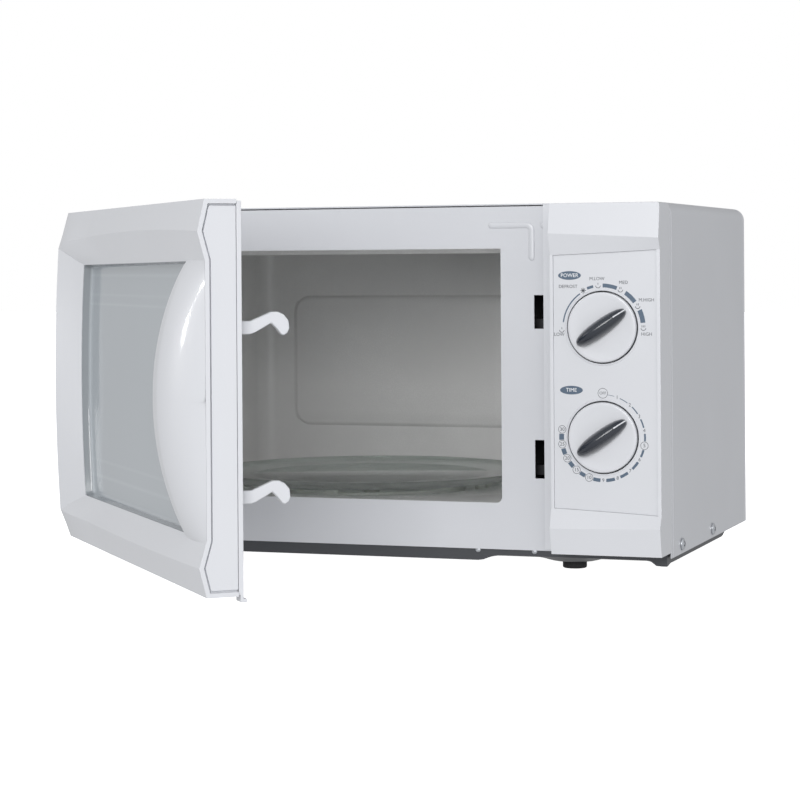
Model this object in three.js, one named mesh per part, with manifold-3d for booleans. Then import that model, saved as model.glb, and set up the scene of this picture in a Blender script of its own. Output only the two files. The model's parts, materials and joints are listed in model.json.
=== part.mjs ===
// Countertop microwave oven with two mechanical dials, shown with its door ajar.
// Millimetres. +X is the oven's right, +Y its back, +Z up. The feet stand on Z = 0.
import * as THREE from "three";
import { mergeVertices } from "three/addons/utils/BufferGeometryUtils.js";
import Module from "manifold-3d";

const wasm = await Module();
wasm.setup();

// ---------------------------------------------------------------- driving dimensions
const HALF_WIDTH = 220; // half of the cabinet's width
const SHEET = 1.0; // steel sheet with its paint
const WALL = 2.5; // moulded plastic wall
const GAP = 0.3; // clearance between neighbouring pieces
const THROUGH = 5; // how far a cutting tool runs past what it cuts

const WRAP = { front: 29.4, back: 284.3, bottom: 12.3, top: 255.7, corner: 9 };
const REAR_Y = 281.3; // front face of the rear panel
const PAN = { z: 9, flange: 18, front: 26.3, lipFront: 20 };
const FRAME = { y: 25, left: -218.7, right: 143.1, bottom: 15.3, top: 253.8, flange: 8, seam: 112 };
const CAVITY = { left: -185, right: 101, floor: 47.6, ceiling: 224.7, front: 26.3, back: 278, round: 12 };

const DOOR_OPEN = THREE.MathUtils.degToRad(49.8); // the door stands ajar by this much
const HINGE = { x: -214.2, y: 10.5 }; // the door's pivot line, upright
const DOOR = { left: -5.8, right: 356.2, bottom: 16.4, top: 253.6, front: 10.5, rim: 9.4, back: 12.7 };
const RIDGE = 4.4; // how far the two bowed ridges stand in front of the facia
const WINDOW = { left: 38, right: 335, bottom: 50.5, top: 216, round: 4, seat: 2.5 };
const HANDLE = { tip: 317, bow: 29, rise: 14.8, right: 352, wall: 3.2, bottom: 48, top: 218.5 };
const STILE_BULGE = 11.3; // how far the hinge stile stands in front of the window's edge

const PANEL = { left: 143.4, bottom: 16.4, top: 254.7, back: 28.6, floor: 2.2 };
const DIAL_X = 179.8;
const POWER_Z = 170.6;
const TIMER_Z = 96.2;
const KNOB = { radius: 23.8, front: -1.6, hub: 6.5 };
const POINTER = THREE.MathUtils.degToRad(35); // both pointers stand here, up from the right

const HOOK = { s: 343.4, thick: 4.4, upper: 176.4, lower: 74.3, lift: 5.5 };
const SLOT = { left: 124.9, right: 137.2, upper: [168.9, 192.2], lower: [65.2, 91.9] };
const TONGUE = { upper: 240.75, lower: 29.25, thick: 1.5, radius: 2.9, pin: 1.8 };

const TABLE = { x: -42, y: 150 }; // the turntable's axis
const WELL = { radius: 97, depth: 10 };
const TRAY = { radius: 122, under: 50.8, rim: 58.6 };
const ROLLER = { radius: 6.3, bore: 1.8, orbit: 85, width: 6 };
const FOOT = { x: 143, front: 61, rear: 240, radius: 8.5, height: 5 };
const FAN = { x: 170, z: 168, radius: 38 };

const FINISH = {
  whiteSteel: { color: 0xd9dadd, roughness: 0.35, metalness: 0.1 },
  whitePlastic: { color: 0xdcdee1, roughness: 0.4, metalness: 0 },
  cavityEnamel: { color: 0x8d8c88, roughness: 0.5, metalness: 0.1 },
  darkSteel: { color: 0x55585c, roughness: 0.55, metalness: 0.5 },
  zincSteel: { color: 0x9aa0a4, roughness: 0.4, metalness: 0.8 },
  rubber: { color: 0x1c1c1e, roughness: 0.9, metalness: 0 },
  glass: { color: 0xc4d2cf, roughness: 0.1, metalness: 0 },
  smokedWindow: { color: 0xa9b0b5, roughness: 0.15, metalness: 0 },
  dialGrey: { color: 0x454b54, roughness: 0.45, metalness: 0 },
  overlay: { color: 0xd5d8dc, roughness: 0.3, metalness: 0 },
  blackPlastic: { color: 0x2a2b2e, roughness: 0.6, metalness: 0 },
  copper: { color: 0x9a5a34, roughness: 0.4, metalness: 0.7 },
  mica: { color: 0xb7ab92, roughness: 0.6, metalness: 0 },
  boardGreen: { color: 0x36604a, roughness: 0.6, metalness: 0 },
};

// ---------------------------------------------------------------- solids
function solid(geometry) {
  const bare = new THREE.BufferGeometry();
  bare.setAttribute("position", geometry.attributes.position);
  bare.setIndex(geometry.index);
  const merged = mergeVertices(bare, 1e-4);
  const corners = merged.index.array;
  const triangles = [];
  for (let i = 0; i < corners.length; i += 3) {
    const [a, b, c] = corners.slice(i, i + 3);
    if (a !== b && b !== c && c !== a) triangles.push(a, b, c);
  }
  const vertProperties = Float32Array.from(merged.attributes.position.array);
  const triVerts = Uint32Array.from(triangles);
  return new wasm.Manifold(new wasm.Mesh({ numProp: 3, vertProperties, triVerts }));
}

const union = (...bodies) => bodies.reduce((a, b) => a.add(b));
const cut = (body, ...tools) => tools.reduce((a, b) => a.subtract(b), body);

function block([x0, x1], [y0, y1], [z0, z1]) {
  const box = new THREE.BoxGeometry(x1 - x0, y1 - y0, z1 - z0);
  return solid(box.translate((x0 + x1) / 2, (y0 + y1) / 2, (z0 + z1) / 2));
}

// An outline in (X, Y) raised from z0 to z1.
function raised(shape, z0, z1, curveSegments = 3) {
  const extruded = new THREE.ExtrudeGeometry(shape, { depth: z1 - z0, bevelEnabled: false, curveSegments });
  return extruded.translate(0, 0, z0);
}
const TO_FACE_Y = new THREE.Matrix4().makeRotationX(Math.PI / 2);
const TO_FACE_X = new THREE.Matrix4().makeBasis(
  new THREE.Vector3(0, 1, 0), new THREE.Vector3(0, 0, 1), new THREE.Vector3(1, 0, 0));
const prismZ = (shape, [z0, z1], segments) => solid(raised(shape, z0, z1, segments));
// An outline in (X, Z) that runs from y0 to y1, and one in (Y, Z) that runs from x0 to x1.
const prismY = (shape, [y0, y1], segments) =>
  solid(raised(shape, -y1, -y0, segments).applyMatrix4(TO_FACE_Y));
const prismX = (shape, [x0, x1], segments) =>
  solid(raised(shape, x0, x1, segments).applyMatrix4(TO_FACE_X));

function disc(radius, sides = 20) {
  const points = Array.from({ length: sides }, (_, i) => {
    const angle = ((i + 0.5) / sides) * 2 * Math.PI;
    return new THREE.Vector2(radius * Math.cos(angle), radius * Math.sin(angle));
  });
  return new THREE.Shape(points);
}
const rodZ = (radius, x, y, span, sides) => prismZ(disc(radius, sides), span).translate([x, y, 0]);
const rodY = (radius, x, z, span, sides) => prismY(disc(radius, sides), span).translate([x, 0, z]);
const rodX = (radius, y, z, span, sides) => prismX(disc(radius, sides), span).translate([0, y, z]);

function outline(points) {
  return new THREE.Shape(points.map(([a, b]) => new THREE.Vector2(a, b)));
}

function roundedRectangle([a0, a1], [b0, b1], radius) {
  const shape = new THREE.Shape();
  shape.moveTo(a0 + radius, b0);
  shape.lineTo(a1 - radius, b0).absarc(a1 - radius, b0 + radius, radius, -Math.PI / 2, 0);
  shape.lineTo(a1, b1 - radius).absarc(a1 - radius, b1 - radius, radius, 0, Math.PI / 2);
  shape.lineTo(a0 + radius, b1).absarc(a0 + radius, b1 - radius, radius, Math.PI / 2, Math.PI);
  shape.lineTo(a0, b0 + radius).absarc(a0 + radius, b0 + radius, radius, Math.PI, Math.PI * 1.5);
  return shape;
}

// A profile of [radius, height] points turned about the Z axis.
function turned(points, sides = 28) {
  const lathe = new THREE.LatheGeometry(points.map(([r, z]) => new THREE.Vector2(r, z)), sides);
  return solid(lathe.applyMatrix4(new THREE.Matrix4().makeRotationX(Math.PI / 2)));
}

// A unit block whose corners are placed by a formula: across, depth and along run from 0 to 1.
function shaped(columns, rows, place) {
  const box = new THREE.BoxGeometry(1, 1, 1, columns, 1, rows);
  const position = box.attributes.position;
  for (let i = 0; i < position.count; i += 1) {
    const unit = [position.getX(i), position.getY(i), position.getZ(i)].map((value) => value + 0.5);
    position.setXYZ(i, ...place(...unit));
  }
  return solid(box);
}

// A slab whose front face passes through bowed rows, each giving its depth and height at an X.
function facade([x0, x1], backY, rows, columns) {
  return shaped(columns, rows.length - 1, (across, depth, along) => {
    const x = THREE.MathUtils.lerp(x0, x1, across);
    const { y, z } = rows[Math.round(along * (rows.length - 1))](x);
    return [x, depth < 0.5 ? y : backY, z];
  });
}

// The same rows one wall further in, for the hollow behind the front skin.
function inward(rows, wall) {
  const last = rows.length - 1;
  return rows.map((row, index) => (x) => {
    const { y, z } = row(x);
    return { y: y + wall, z: z + (index === 0 ? wall : 0) - (index === last ? wall : 0) };
  });
}

const oven = new THREE.Group();
const door = new THREE.Group();
door.position.set(HINGE.x, HINGE.y, 0);
door.rotation.z = -DOOR_OPEN;
oven.add(door);

function place(group, name, body, finish) {
  const { numProp, vertProperties, triVerts } = body.getMesh();
  const geometry = new THREE.BufferGeometry();
  const points = new Float32Array((vertProperties.length / numProp) * 3);
  for (let i = 0; i < points.length / 3; i += 1) {
    points.set(vertProperties.subarray(i * numProp, i * numProp + 3), i * 3);
  }
  geometry.setAttribute("position", new THREE.BufferAttribute(points, 3));
  geometry.setIndex(new THREE.BufferAttribute(Uint32Array.from(triVerts), 1));
  geometry.computeVertexNormals();
  const mesh = new THREE.Mesh(geometry, new THREE.MeshStandardMaterial(FINISH[finish]));
  mesh.name = name;
  group.add(mesh);
}
const fixed = (name, body, finish) => place(oven, name, body, finish);
const onDoor = (name, body, finish) => place(door, name, body, finish);

// ---------------------------------------------------------------- the bowed facia
const bow = (x) => (x / HALF_WIDTH) ** 2;
const ridgeTop = (x) => 237 - 6.3 * bow(x);
const ridgeBottom = (x) => 33 + 2.6 * bow(x);
const fieldTop = (x) => 217 + 6 * bow(x);
const fieldBottom = (x) => 50.4 - 6.4 * bow(x);

// ---------------------------------------------------------------- cabinet
// The wrapper's cross-section, open at the bottom, moved inwards by an inset.
function arch(inset) {
  const side = HALF_WIDTH - inset;
  const top = WRAP.top - inset;
  const radius = WRAP.corner - inset;
  const bottom = WRAP.bottom - (inset ? THROUGH : 0);
  const shape = new THREE.Shape();
  shape.moveTo(side, bottom);
  shape.lineTo(side, top - radius).absarc(side - radius, top - radius, radius, 0, Math.PI / 2);
  shape.lineTo(radius - side, top).absarc(radius - side, top - radius, radius, Math.PI / 2, Math.PI);
  shape.lineTo(-side, bottom);
  return shape;
}
const insideWrapper = (span) => prismY(arch(SHEET + GAP), span);

function outerWrapper() {
  const shell = cut(
    prismY(arch(0), [WRAP.front, WRAP.back]),
    prismY(arch(SHEET), [WRAP.front - THROUGH, WRAP.back + THROUGH]));
  const across = [-HALF_WIDTH - THROUGH, HALF_WIDTH + THROUGH];
  const holes = SIDE_SCREWS.map(({ y, z }) => rodX(2.3, y, z, across, 8));
  return cut(shell, ...holes);
}

function basePan() {
  const side = HALF_WIDTH - SHEET - GAP;
  const floor = [PAN.z, PAN.z + SHEET];
  const flangeTop = PAN.z + PAN.flange;
  const sides = [-1, 1].map((hand) => {
    const faces = [hand * side, hand * (side - SHEET)].sort((a, b) => a - b);
    return block(faces, [FRAME.y + FRAME.flange + GAP, REAR_Y - GAP], [PAN.z, flangeTop]);
  });
  const plate = union(
    block([-side, side], [PAN.front, REAR_Y - GAP], floor),
    block([100, side], [PAN.lipFront, PAN.front + SHEET], floor),
    block([-side, side], [PAN.front, PAN.front + SHEET], [PAN.z, PAN.z + 6]),
    block([-side, side], [REAR_Y - GAP - SHEET, REAR_Y - GAP], [PAN.z, PAN.z + 12]),
    ...sides,
    rodZ(125, TABLE.x, TABLE.y, [PAN.z - 3, PAN.z + SHEET], 28),
    ...FEET.map(({ x, y }) => rodZ(14, x, y, [FOOT.height + GAP, PAN.z + SHEET / 2], 12)));
  const dish = rodZ(124, TABLE.x, TABLE.y, [PAN.z - 3 + SHEET, PAN.z + THROUGH], 28);
  const stems = FEET.map(({ x, y }) => rodZ(3.4, x, y, [0, PAN.z + THROUGH], 8));
  const vents = Array.from({ length: 5 }, (_, i) =>
    block([150, 200], [100 + i * 10, 104 + i * 10], [0, PAN.z + THROUGH]));
  const holes = SIDE_SCREWS.map(({ y, z }) => rodX(2, y, z, [-HALF_WIDTH, HALF_WIDTH], 8));
  return cut(plate, dish, ...stems, ...vents, ...holes);
}

function rearPanel() {
  const side = HALF_WIDTH - SHEET - GAP;
  const sheet = roundedRectangle([-side, side], [PAN.z, WRAP.top - SHEET - GAP], WRAP.corner - 1);
  const plate = prismY(sheet, [REAR_Y, REAR_Y + SHEET]);
  const depth = [REAR_Y - THROUGH, REAR_Y + THROUGH];
  const slots = (make) => Array.from({ length: 6 }, (_, i) => make(i));
  const intake = slots((i) => block([FAN.x - 32, FAN.x + 32], depth, [138 + i * 11, 143 + i * 11]));
  const exhaust = slots((i) => block([-170 + i * 12, -165 + i * 12], depth, [205, 238]));
  return cut(plate, ...intake, ...exhaust, rodY(7, GLAND.x, GLAND.z, depth, 12));
}

function sideScrew(hand, { y, z }) {
  const shank = rodX(1.6, y, z, [HALF_WIDTH - 6, HALF_WIDTH + GAP + 1], 6);
  const head = turned([[0, 0], [4.25, 0], [4.1, 1], [2.8, 1.9], [0, 2.3]], 12)
    .rotate([0, 90, 0]).translate([HALF_WIDTH + GAP, y, z]);
  const screw = union(shank, head);
  return hand > 0 ? screw : screw.rotate([0, 0, 180]).translate([0, 2 * y, 0]);
}

function foot({ x, y }) {
  const { radius, height } = FOOT;
  const pad = turned([[0, 0], [radius - 0.8, 0], [radius, 1], [radius, height], [0, height]], 16);
  return union(pad.translate([x, y, 0]), rodZ(3, x, y, [height - 1, PAN.z + SHEET + 2], 8));
}

// ---------------------------------------------------------------- oven chamber
function frontFrame() {
  const depth = [FRAME.y, FRAME.y + SHEET];
  const through = [FRAME.y - THROUGH, FRAME.y + THROUGH];
  const flange = [FRAME.y, FRAME.y + FRAME.flange];
  const ribDepth = [FRAME.y - 0.8, FRAME.y + SHEET / 2];
  const plate = union(
    block([FRAME.left, FRAME.right], depth, [FRAME.bottom, FRAME.top]),
    block([FRAME.right - 1, 152], depth, [30, 240]),
    block([FRAME.left, FRAME.right], flange, [FRAME.top - SHEET, FRAME.top]),
    block([FRAME.left, FRAME.left + SHEET], flange, [FRAME.bottom, FRAME.top]),
    block([92, 125.6], ribDepth, [238, 243.6]),
    block([121.2, 125.6], ribDepth, [216, 243.6]));
  const mouth = roundedRectangle([CAVITY.left, CAVITY.right - 0.2], [CAVITY.floor, CAVITY.ceiling], 3);
  const slots = [SLOT.upper, SLOT.lower].map((span) => block([SLOT.left, SLOT.right], through, span));
  const folded = [FRAME.y - THROUGH, FRAME.y + FRAME.flange + 1];
  const tongueSlots = [TONGUE.upper, TONGUE.lower].map((z) =>
    block([FRAME.left - 1, HINGE.x + 4.2], folded, [z - 1.5, z + 1.5]));
  const fitted = plate.intersect(insideWrapper(folded));
  return cut(fitted, prismY(mouth, through, 3), ...slots, ...tongueSlots);
}

function cavityLiner() {
  const round = CAVITY.round;
  const walls = (grow) => {
    const shape = new THREE.Shape();
    const left = CAVITY.left - grow;
    const right = CAVITY.right + grow;
    const back = CAVITY.back + grow;
    const radius = round + grow;
    shape.moveTo(left, CAVITY.front - (grow ? 0 : THROUGH));
    shape.lineTo(right, CAVITY.front - (grow ? 0 : THROUGH));
    shape.lineTo(right, back - radius).absarc(right - radius, back - radius, radius, 0, Math.PI / 2);
    shape.lineTo(left + radius, back).absarc(left + radius, back - radius, radius, Math.PI / 2, Math.PI);
    return shape;
  };
  const wellFloor = CAVITY.floor - WELL.depth;
  const outer = union(
    prismZ(walls(SHEET), [CAVITY.floor - SHEET, CAVITY.ceiling + SHEET]),
    rodZ(WELL.radius + SHEET, TABLE.x, TABLE.y, [wellFloor - SHEET, CAVITY.floor - SHEET / 2], 28));
  return cut(
    outer,
    prismZ(walls(0), [CAVITY.floor, CAVITY.ceiling]),
    rodZ(WELL.radius, TABLE.x, TABLE.y, [wellFloor, CAVITY.floor + 1], 28),
    rodZ(9, TABLE.x, TABLE.y, [0, CAVITY.floor], 12),
    block([CAVITY.right - THROUGH, CAVITY.right + THROUGH], [140, 180], [152, 192]));
}

function glassTray() {
  const { radius, under, rim } = TRAY;
  const dish = turned([
    [0, under], [90, under], [112, under + 1], [radius - 1.5, rim - 3], [radius, rim - 1],
    [radius - 0.8, rim], [radius - 4, rim - 0.6], [110, under + 5.2], [88, under + 4.4], [0, under + 4.4]], 32);
  const lugs = [0, 1, 2].map((turn) =>
    block([17, 21], [-4, 4], [under - 4, under + 1]).rotate([0, 0, turn * 120 + 60]));
  return union(dish, ...lugs).translate([TABLE.x, TABLE.y, 0]);
}

function driveCoupler() {
  const top = TRAY.under - GAP;
  const arms = [0, 1, 2].map((turn) => block([0, 21], [-5, 5], [top - 5, top]).rotate([0, 0, turn * 120]));
  const stem = rodZ(6, 0, 0, [34, top - 2], 12);
  return union(stem, rodZ(12, 0, 0, [top - 7, top], 12), ...arms).translate([TABLE.x, TABLE.y, 0]);
}

const rollerZ = CAVITY.floor - WELL.depth + GAP + ROLLER.radius;

function rollerRing() {
  const band = cut(
    rodZ(72, 0, 0, [rollerZ - 2, rollerZ + 2], 24),
    rodZ(65, 0, 0, [rollerZ - 3, rollerZ + 3], 24));
  const arms = [0, 1, 2].map((turn) => {
    const axle = rodX(ROLLER.bore - 0.3, 0, rollerZ, [70, ROLLER.orbit + 5], 8);
    const stop = rodX(3.2, 0, rollerZ, [ROLLER.orbit + 4, ROLLER.orbit + 6], 8);
    return union(axle, stop).rotate([0, 0, turn * 120 + 30]);
  });
  return union(band, ...arms).translate([TABLE.x, TABLE.y, 0]);
}

function roller(turn) {
  const half = ROLLER.width / 2;
  const wheel = cut(
    rodX(ROLLER.radius, 0, rollerZ, [ROLLER.orbit - half, ROLLER.orbit + half], 16),
    rodX(ROLLER.bore, 0, rollerZ, [ROLLER.orbit - THROUGH, ROLLER.orbit + THROUGH], 8));
  return wheel.rotate([0, 0, turn * 120 + 30]).translate([TABLE.x, TABLE.y, 0]);
}

function turntableMotor() {
  const top = CAVITY.floor - WELL.depth - SHEET - GAP;
  const can = rodZ(24.5, TABLE.x, TABLE.y, [top - 19, top], 20);
  const ears = block([TABLE.x - 32, TABLE.x + 32], [TABLE.y - 6, TABLE.y + 6], [top - 2, top]);
  return cut(union(can, ears), rodZ(6.4, TABLE.x, TABLE.y, [top - 6, top + 1], 12));
}

// ---------------------------------------------------------------- microwave generator
const GUIDE = { left: CAVITY.right + SHEET + GAP, right: 140, y: [112, 204], z: [118, 214] };

function waveguide() {
  const inner = (span) => [span[0] + SHEET, span[1] - SHEET];
  return cut(
    block([GUIDE.left, GUIDE.right], GUIDE.y, GUIDE.z),
    block([GUIDE.left - THROUGH, GUIDE.right - SHEET], inner(GUIDE.y), inner(GUIDE.z)),
    rodX(9, 158, 166, [GUIDE.right - THROUGH, GUIDE.right + THROUGH], 12));
}

function magnetron() {
  const x = GUIDE.right + GAP;
  const yoke = union(
    block([x, x + 2], [116, 200], [130, 202]),
    block([x, x + 58], [122, 124], [130, 202]),
    block([x, x + 58], [192, 194], [130, 202]),
    block([x + 56, x + 58], [122, 194], [130, 202]));
  const fins = Array.from({ length: 5 }, (_, i) =>
    block([x + 12 + i * 8, x + 13.4 + i * 8], [123, 193], [134, 198]));
  const core = rodX(16, 158, 166, [x, x + 62], 8);
  const antenna = rodX(7.5, 158, 166, [x - 22, x + 1], 12);
  return union(yoke, core, antenna, ...fins);
}

function transformer() {
  const base = PAN.z + SHEET + GAP;
  const core = block([124, 206], [122, 196], [base + 6, base + 70]);
  const windings = prismX(roundedRectangle([108, 210], [base + 16, base + 60], 12), [138, 192]);
  return union(core, windings, block([118, 212], [126, 192], [base, base + 7]));
}

function capacitor() {
  const base = PAN.z + SHEET + GAP;
  const can = prismZ(roundedRectangle([150, 202], [66, 100], 16.9), [base, base + 88], 4);
  const posts = [164, 188].map((x) => block([x - 3, x + 3], [82, 84], [base + 87, base + 98]));
  return union(can, ...posts);
}

function diode() {
  const base = PAN.z + SHEET + GAP;
  return union(
    block([128, 136], [86, 94], [base + 1, base + 20]),
    block([129, 135], [86, 104], [base, base + 1.5]),
    rodZ(0.9, 132, 90, [base + 18, base + 32], 6));
}

function fanShroud() {
  const front = 240;
  const span = { x: [FAN.x - 46, FAN.x + 46], z: [FAN.z - 48, FAN.z + 50] };
  const plate = union(
    block(span.x, [front, front + 2], span.z),
    rodY(FAN.radius + 4, FAN.x, FAN.z, [front, front + 16], 24),
    block(span.x, [front, 278], [span.z[1] - 2, span.z[1]]));
  return cut(plate, rodY(FAN.radius + 2, FAN.x, FAN.z, [front - THROUGH, front + 20], 24));
}

function fanBlade() {
  const hub = rodY(9, FAN.x, FAN.z, [243, 256], 12);
  const vane = block([6, FAN.radius], [-0.7, 0.7], [-8, 8]).rotate([35, 0, 0]);
  const vanes = Array.from({ length: 5 }, (_, i) =>
    vane.rotate([0, i * 72, 0]).translate([FAN.x, 249.5, FAN.z]));
  const shaft = rodY(1.5, FAN.x, FAN.z, [250, 262], 8);
  return union(hub, shaft, ...vanes);
}

function fanMotor() {
  const body = union(
    block([FAN.x - 22, FAN.x + 22], [259, 274], [FAN.z - 24, FAN.z + 24]),
    block([FAN.x - 40, FAN.x + 40], [257.5, 259.5], [FAN.z - 5, FAN.z + 5]));
  return cut(body, rodY(2, FAN.x, FAN.z, [250, 266], 8));
}

function ovenLamp() {
  const bulb = turned([[0, 0], [6, 1], [10, 8], [10, 14], [6, 21], [6, 24], [0, 24]], 12)
    .rotate([0, 90, 0]);
  const socket = rodX(9, 0, 0, [22, 34], 12);
  return union(bulb, socket).translate([CAVITY.right + SHEET + 2, 80, 200]);
}

function filterBoard() {
  const z = FAN.z + 50 + GAP;
  const parts = [[140, 14, 12], [162, 16, 10], [184, 12, 14]].map(([x, wide, high]) =>
    block([x, x + wide], [246, 268], [z + 1, z + high]));
  return union(block([128, 212], [242, 276], [z, z + 1.6]), ...parts);
}

// ---------------------------------------------------------------- door locks
function latchBoard() {
  const left = 119;
  const right = 141;
  const front = FRAME.y + SHEET + GAP;
  const hollow = [[left + 2.5, right - 2.5], [front - THROUGH, 61], [60, 198]];
  const channel = cut(block([left, right], [front, 63.5], [56, 202]), block(...hollow));
  const catches = [HOOK.upper, HOOK.lower].map((z) =>
    block([left + 1, right - 1], [39.5, 43.3], [z - 8, z - 0.9]));
  const bores = [HOOK.upper, HOOK.lower].map((z) => rodY(2.4, 129.2, z - 0.4, [55, 70], 8));
  return cut(union(channel, ...catches), ...bores);
}

const interlockSwitch = (z) => cut(
  block([122, 137], [63.8, 82], [z - 11, z + 11]),
  rodY(2.4, 129.2, z - 0.4, [60, 72], 8));

const switchPlunger = (z) => rodY(2, 129.2, z - 0.4, [57.2, 69.5], 8);

// ---------------------------------------------------------------- control panel
function bowedField(inset) {
  const left = PANEL.left + 2.2 + inset;
  const right = HALF_WIDTH - 2.4 - inset;
  const middle = (left + right) / 2;
  const shape = new THREE.Shape();
  shape.moveTo(left, fieldBottom(left) + inset);
  shape.quadraticCurveTo(middle, fieldBottom(middle) + inset, right, fieldBottom(right) + inset);
  shape.quadraticCurveTo(right - 1.5, 134, right, fieldTop(right) - inset);
  shape.quadraticCurveTo(middle, fieldTop(middle) - inset, left, fieldTop(left) - inset);
  shape.quadraticCurveTo(left + 3.5, 134, left, fieldBottom(left) + inset);
  return shape;
}

function controlPanel() {
  const rows = [
    () => ({ y: 0, z: PANEL.bottom }),
    (x) => ({ y: -RIDGE, z: ridgeBottom(x) }),
    (x) => ({ y: 0, z: fieldBottom(x) }),
    (x) => ({ y: 0, z: fieldTop(x) }),
    (x) => ({ y: -RIDGE, z: ridgeTop(x) }),
    () => ({ y: 0, z: PANEL.top }),
  ];
  const shell = facade([PANEL.left, HALF_WIDTH], PANEL.back, rows, 3);
  const hollowRows = inward(rows, WALL + PANEL.floor);
  const hollow = facade([PANEL.left + WALL, HALF_WIDTH - WALL], PANEL.back + THROUGH, hollowRows, 3);
  const behindFrame = block(
    [PANEL.left - 1, PANEL.left + WALL + 1], [FRAME.y - GAP, PANEL.back + 1], [0, WRAP.top + 5]);
  const shafts = [POWER_Z, TIMER_Z].map((z) => rodY(8.5, DIAL_X, z, [-THROUGH, PANEL.back], 12));
  return cut(
    cut(shell, hollow, behindFrame),
    prismY(bowedField(0), [-THROUGH, PANEL.floor], 4),
    ...shafts);
}

// The thin edge of the panel that lies over the latch plate and leaves its slots open.
function panelEdge() {
  const strip = block([134, PANEL.left - GAP], [23.8, FRAME.y - GAP], [PANEL.bottom, PANEL.top]);
  const notches = [SLOT.upper, SLOT.lower].map(([low, high]) =>
    block([133, 137.5], [20, 26], [low - 1, high + 1]));
  return cut(strip, ...notches);
}

function dialPlate() {
  const wells = [POWER_Z, TIMER_Z].map((z) => rodY(KNOB.radius + 1.3, DIAL_X, z, [-THROUGH, THROUGH], 32));
  return cut(prismY(bowedField(GAP), [1, PANEL.floor - GAP], 4), ...wells);
}

function knob(z) {
  const dish = turned([
    [0, KNOB.front + 0.6], [18, KNOB.front + 0.3], [22.4, KNOB.front], [KNOB.radius, KNOB.front + 1.2],
    [KNOB.radius, PANEL.floor - GAP], [KNOB.hub, PANEL.floor - GAP], [KNOB.hub, 14], [0, 14]], 32)
    .rotate([-90, 0, 0]);
  return cut(dish, rodY(3.3, 0, 0, [3, 20], 12)).translate([DIAL_X, 0, z]);
}

function grip(z) {
  const shape = new THREE.Shape();
  shape.absarc(-15.5, 0, 5, Math.PI / 2, Math.PI * 1.5);
  shape.absarc(17.5, 0, 3.2, -Math.PI / 2, Math.PI / 2);
  return prismY(shape, [KNOB.front - 12, KNOB.front - GAP])
    .rotate([0, -THREE.MathUtils.radToDeg(POINTER), 0])
    .translate([DIAL_X, 0, z]);
}

const shaft = (z) => rodY(3, DIAL_X, z, [3.6, 40], 12);

const switchUnit = (z, high) => cut(
  block([DIAL_X - 27, DIAL_X + 27], [30.2, 58], [z - high / 2, z + high / 2]),
  rodY(3.4, DIAL_X, z, [20, 42], 12));

function controlBracket() {
  const plate = block([147, 216], [PANEL.back + GAP, PANEL.back + GAP + SHEET], [62, 206]);
  return cut(plate, ...[POWER_Z, TIMER_Z].map((z) => rodY(6, DIAL_X, z, [20, 40], 12)));
}

// ---------------------------------------------------------------- door
function hingeBracket(z) {
  const outward = z > 100 ? 1 : -1;
  const half = TONGUE.thick / 2;
  const plateY = FRAME.y + SHEET + GAP;
  const plate = block([FRAME.left + SHEET + GAP, -196], [plateY, plateY + 1.5], [z - 9, z + 9]);
  const tongue = union(
    rodZ(TONGUE.radius, HINGE.x, HINGE.y, [z - half, z + half], 16),
    block([HINGE.x - TONGUE.radius, HINGE.x + TONGUE.radius], [HINGE.y, plateY + 1], [z - half, z + half]));
  const pin = rodZ(TONGUE.pin, HINGE.x, HINGE.y, [z - 4, z + 4], 12);
  return union(plate, tongue, pin.translate([0, 0, outward * 0.5]));
}

function doorRows() {
  const stile = (s) => THREE.MathUtils.clamp((WINDOW.left - s) / (WINDOW.left - DOOR.left), 0, 1);
  const row = (height, rise, edgeHeight, edgeRise) => (s) => {
    const x = HINGE.x + s;
    const { lerp } = THREE.MathUtils;
    return { z: lerp(height(x), edgeHeight, stile(s)), y: -lerp(rise, edgeRise, stile(s)) };
  };
  const face = DOOR.front - 0.3;
  const edge = face + STILE_BULGE;
  return [
    row(() => DOOR.bottom, DOOR.front, DOOR.bottom, DOOR.front),
    row(ridgeBottom, DOOR.front + RIDGE, 37, edge - 3.2),
    row(fieldBottom, face, 39, edge - 3),
    row(() => 90, face - 0.4, 90, edge - 0.7),
    row(() => 135, face - 0.6, 135, edge),
    row(() => 180, face - 0.4, 180, edge - 0.7),
    row(fieldTop, face, 224.5, edge - 3),
    row(ridgeTop, DOOR.front + RIDGE, 226.5, edge - 3.2),
    row(() => DOOR.top, DOOR.front, DOOR.top, DOOR.front),
  ];
}

// The grip: a crescent shell that rises out of the free stile and stands clear of the window.
function handleShell() {
  return shaped(4, 8, (across, depth, along) => {
    const swell = 4 * along * (1 - along);
    const s = THREE.MathUtils.lerp(HANDLE.tip - HANDLE.bow * swell, HANDLE.right, across);
    const rise = DOOR.front - 0.3 + HANDLE.rise * swell * (1 - across ** 2);
    const z = THREE.MathUtils.lerp(HANDLE.bottom, HANDLE.top, along);
    return [s, -rise + (depth > 0.5 ? HANDLE.wall : 0), z];
  });
}

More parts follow.
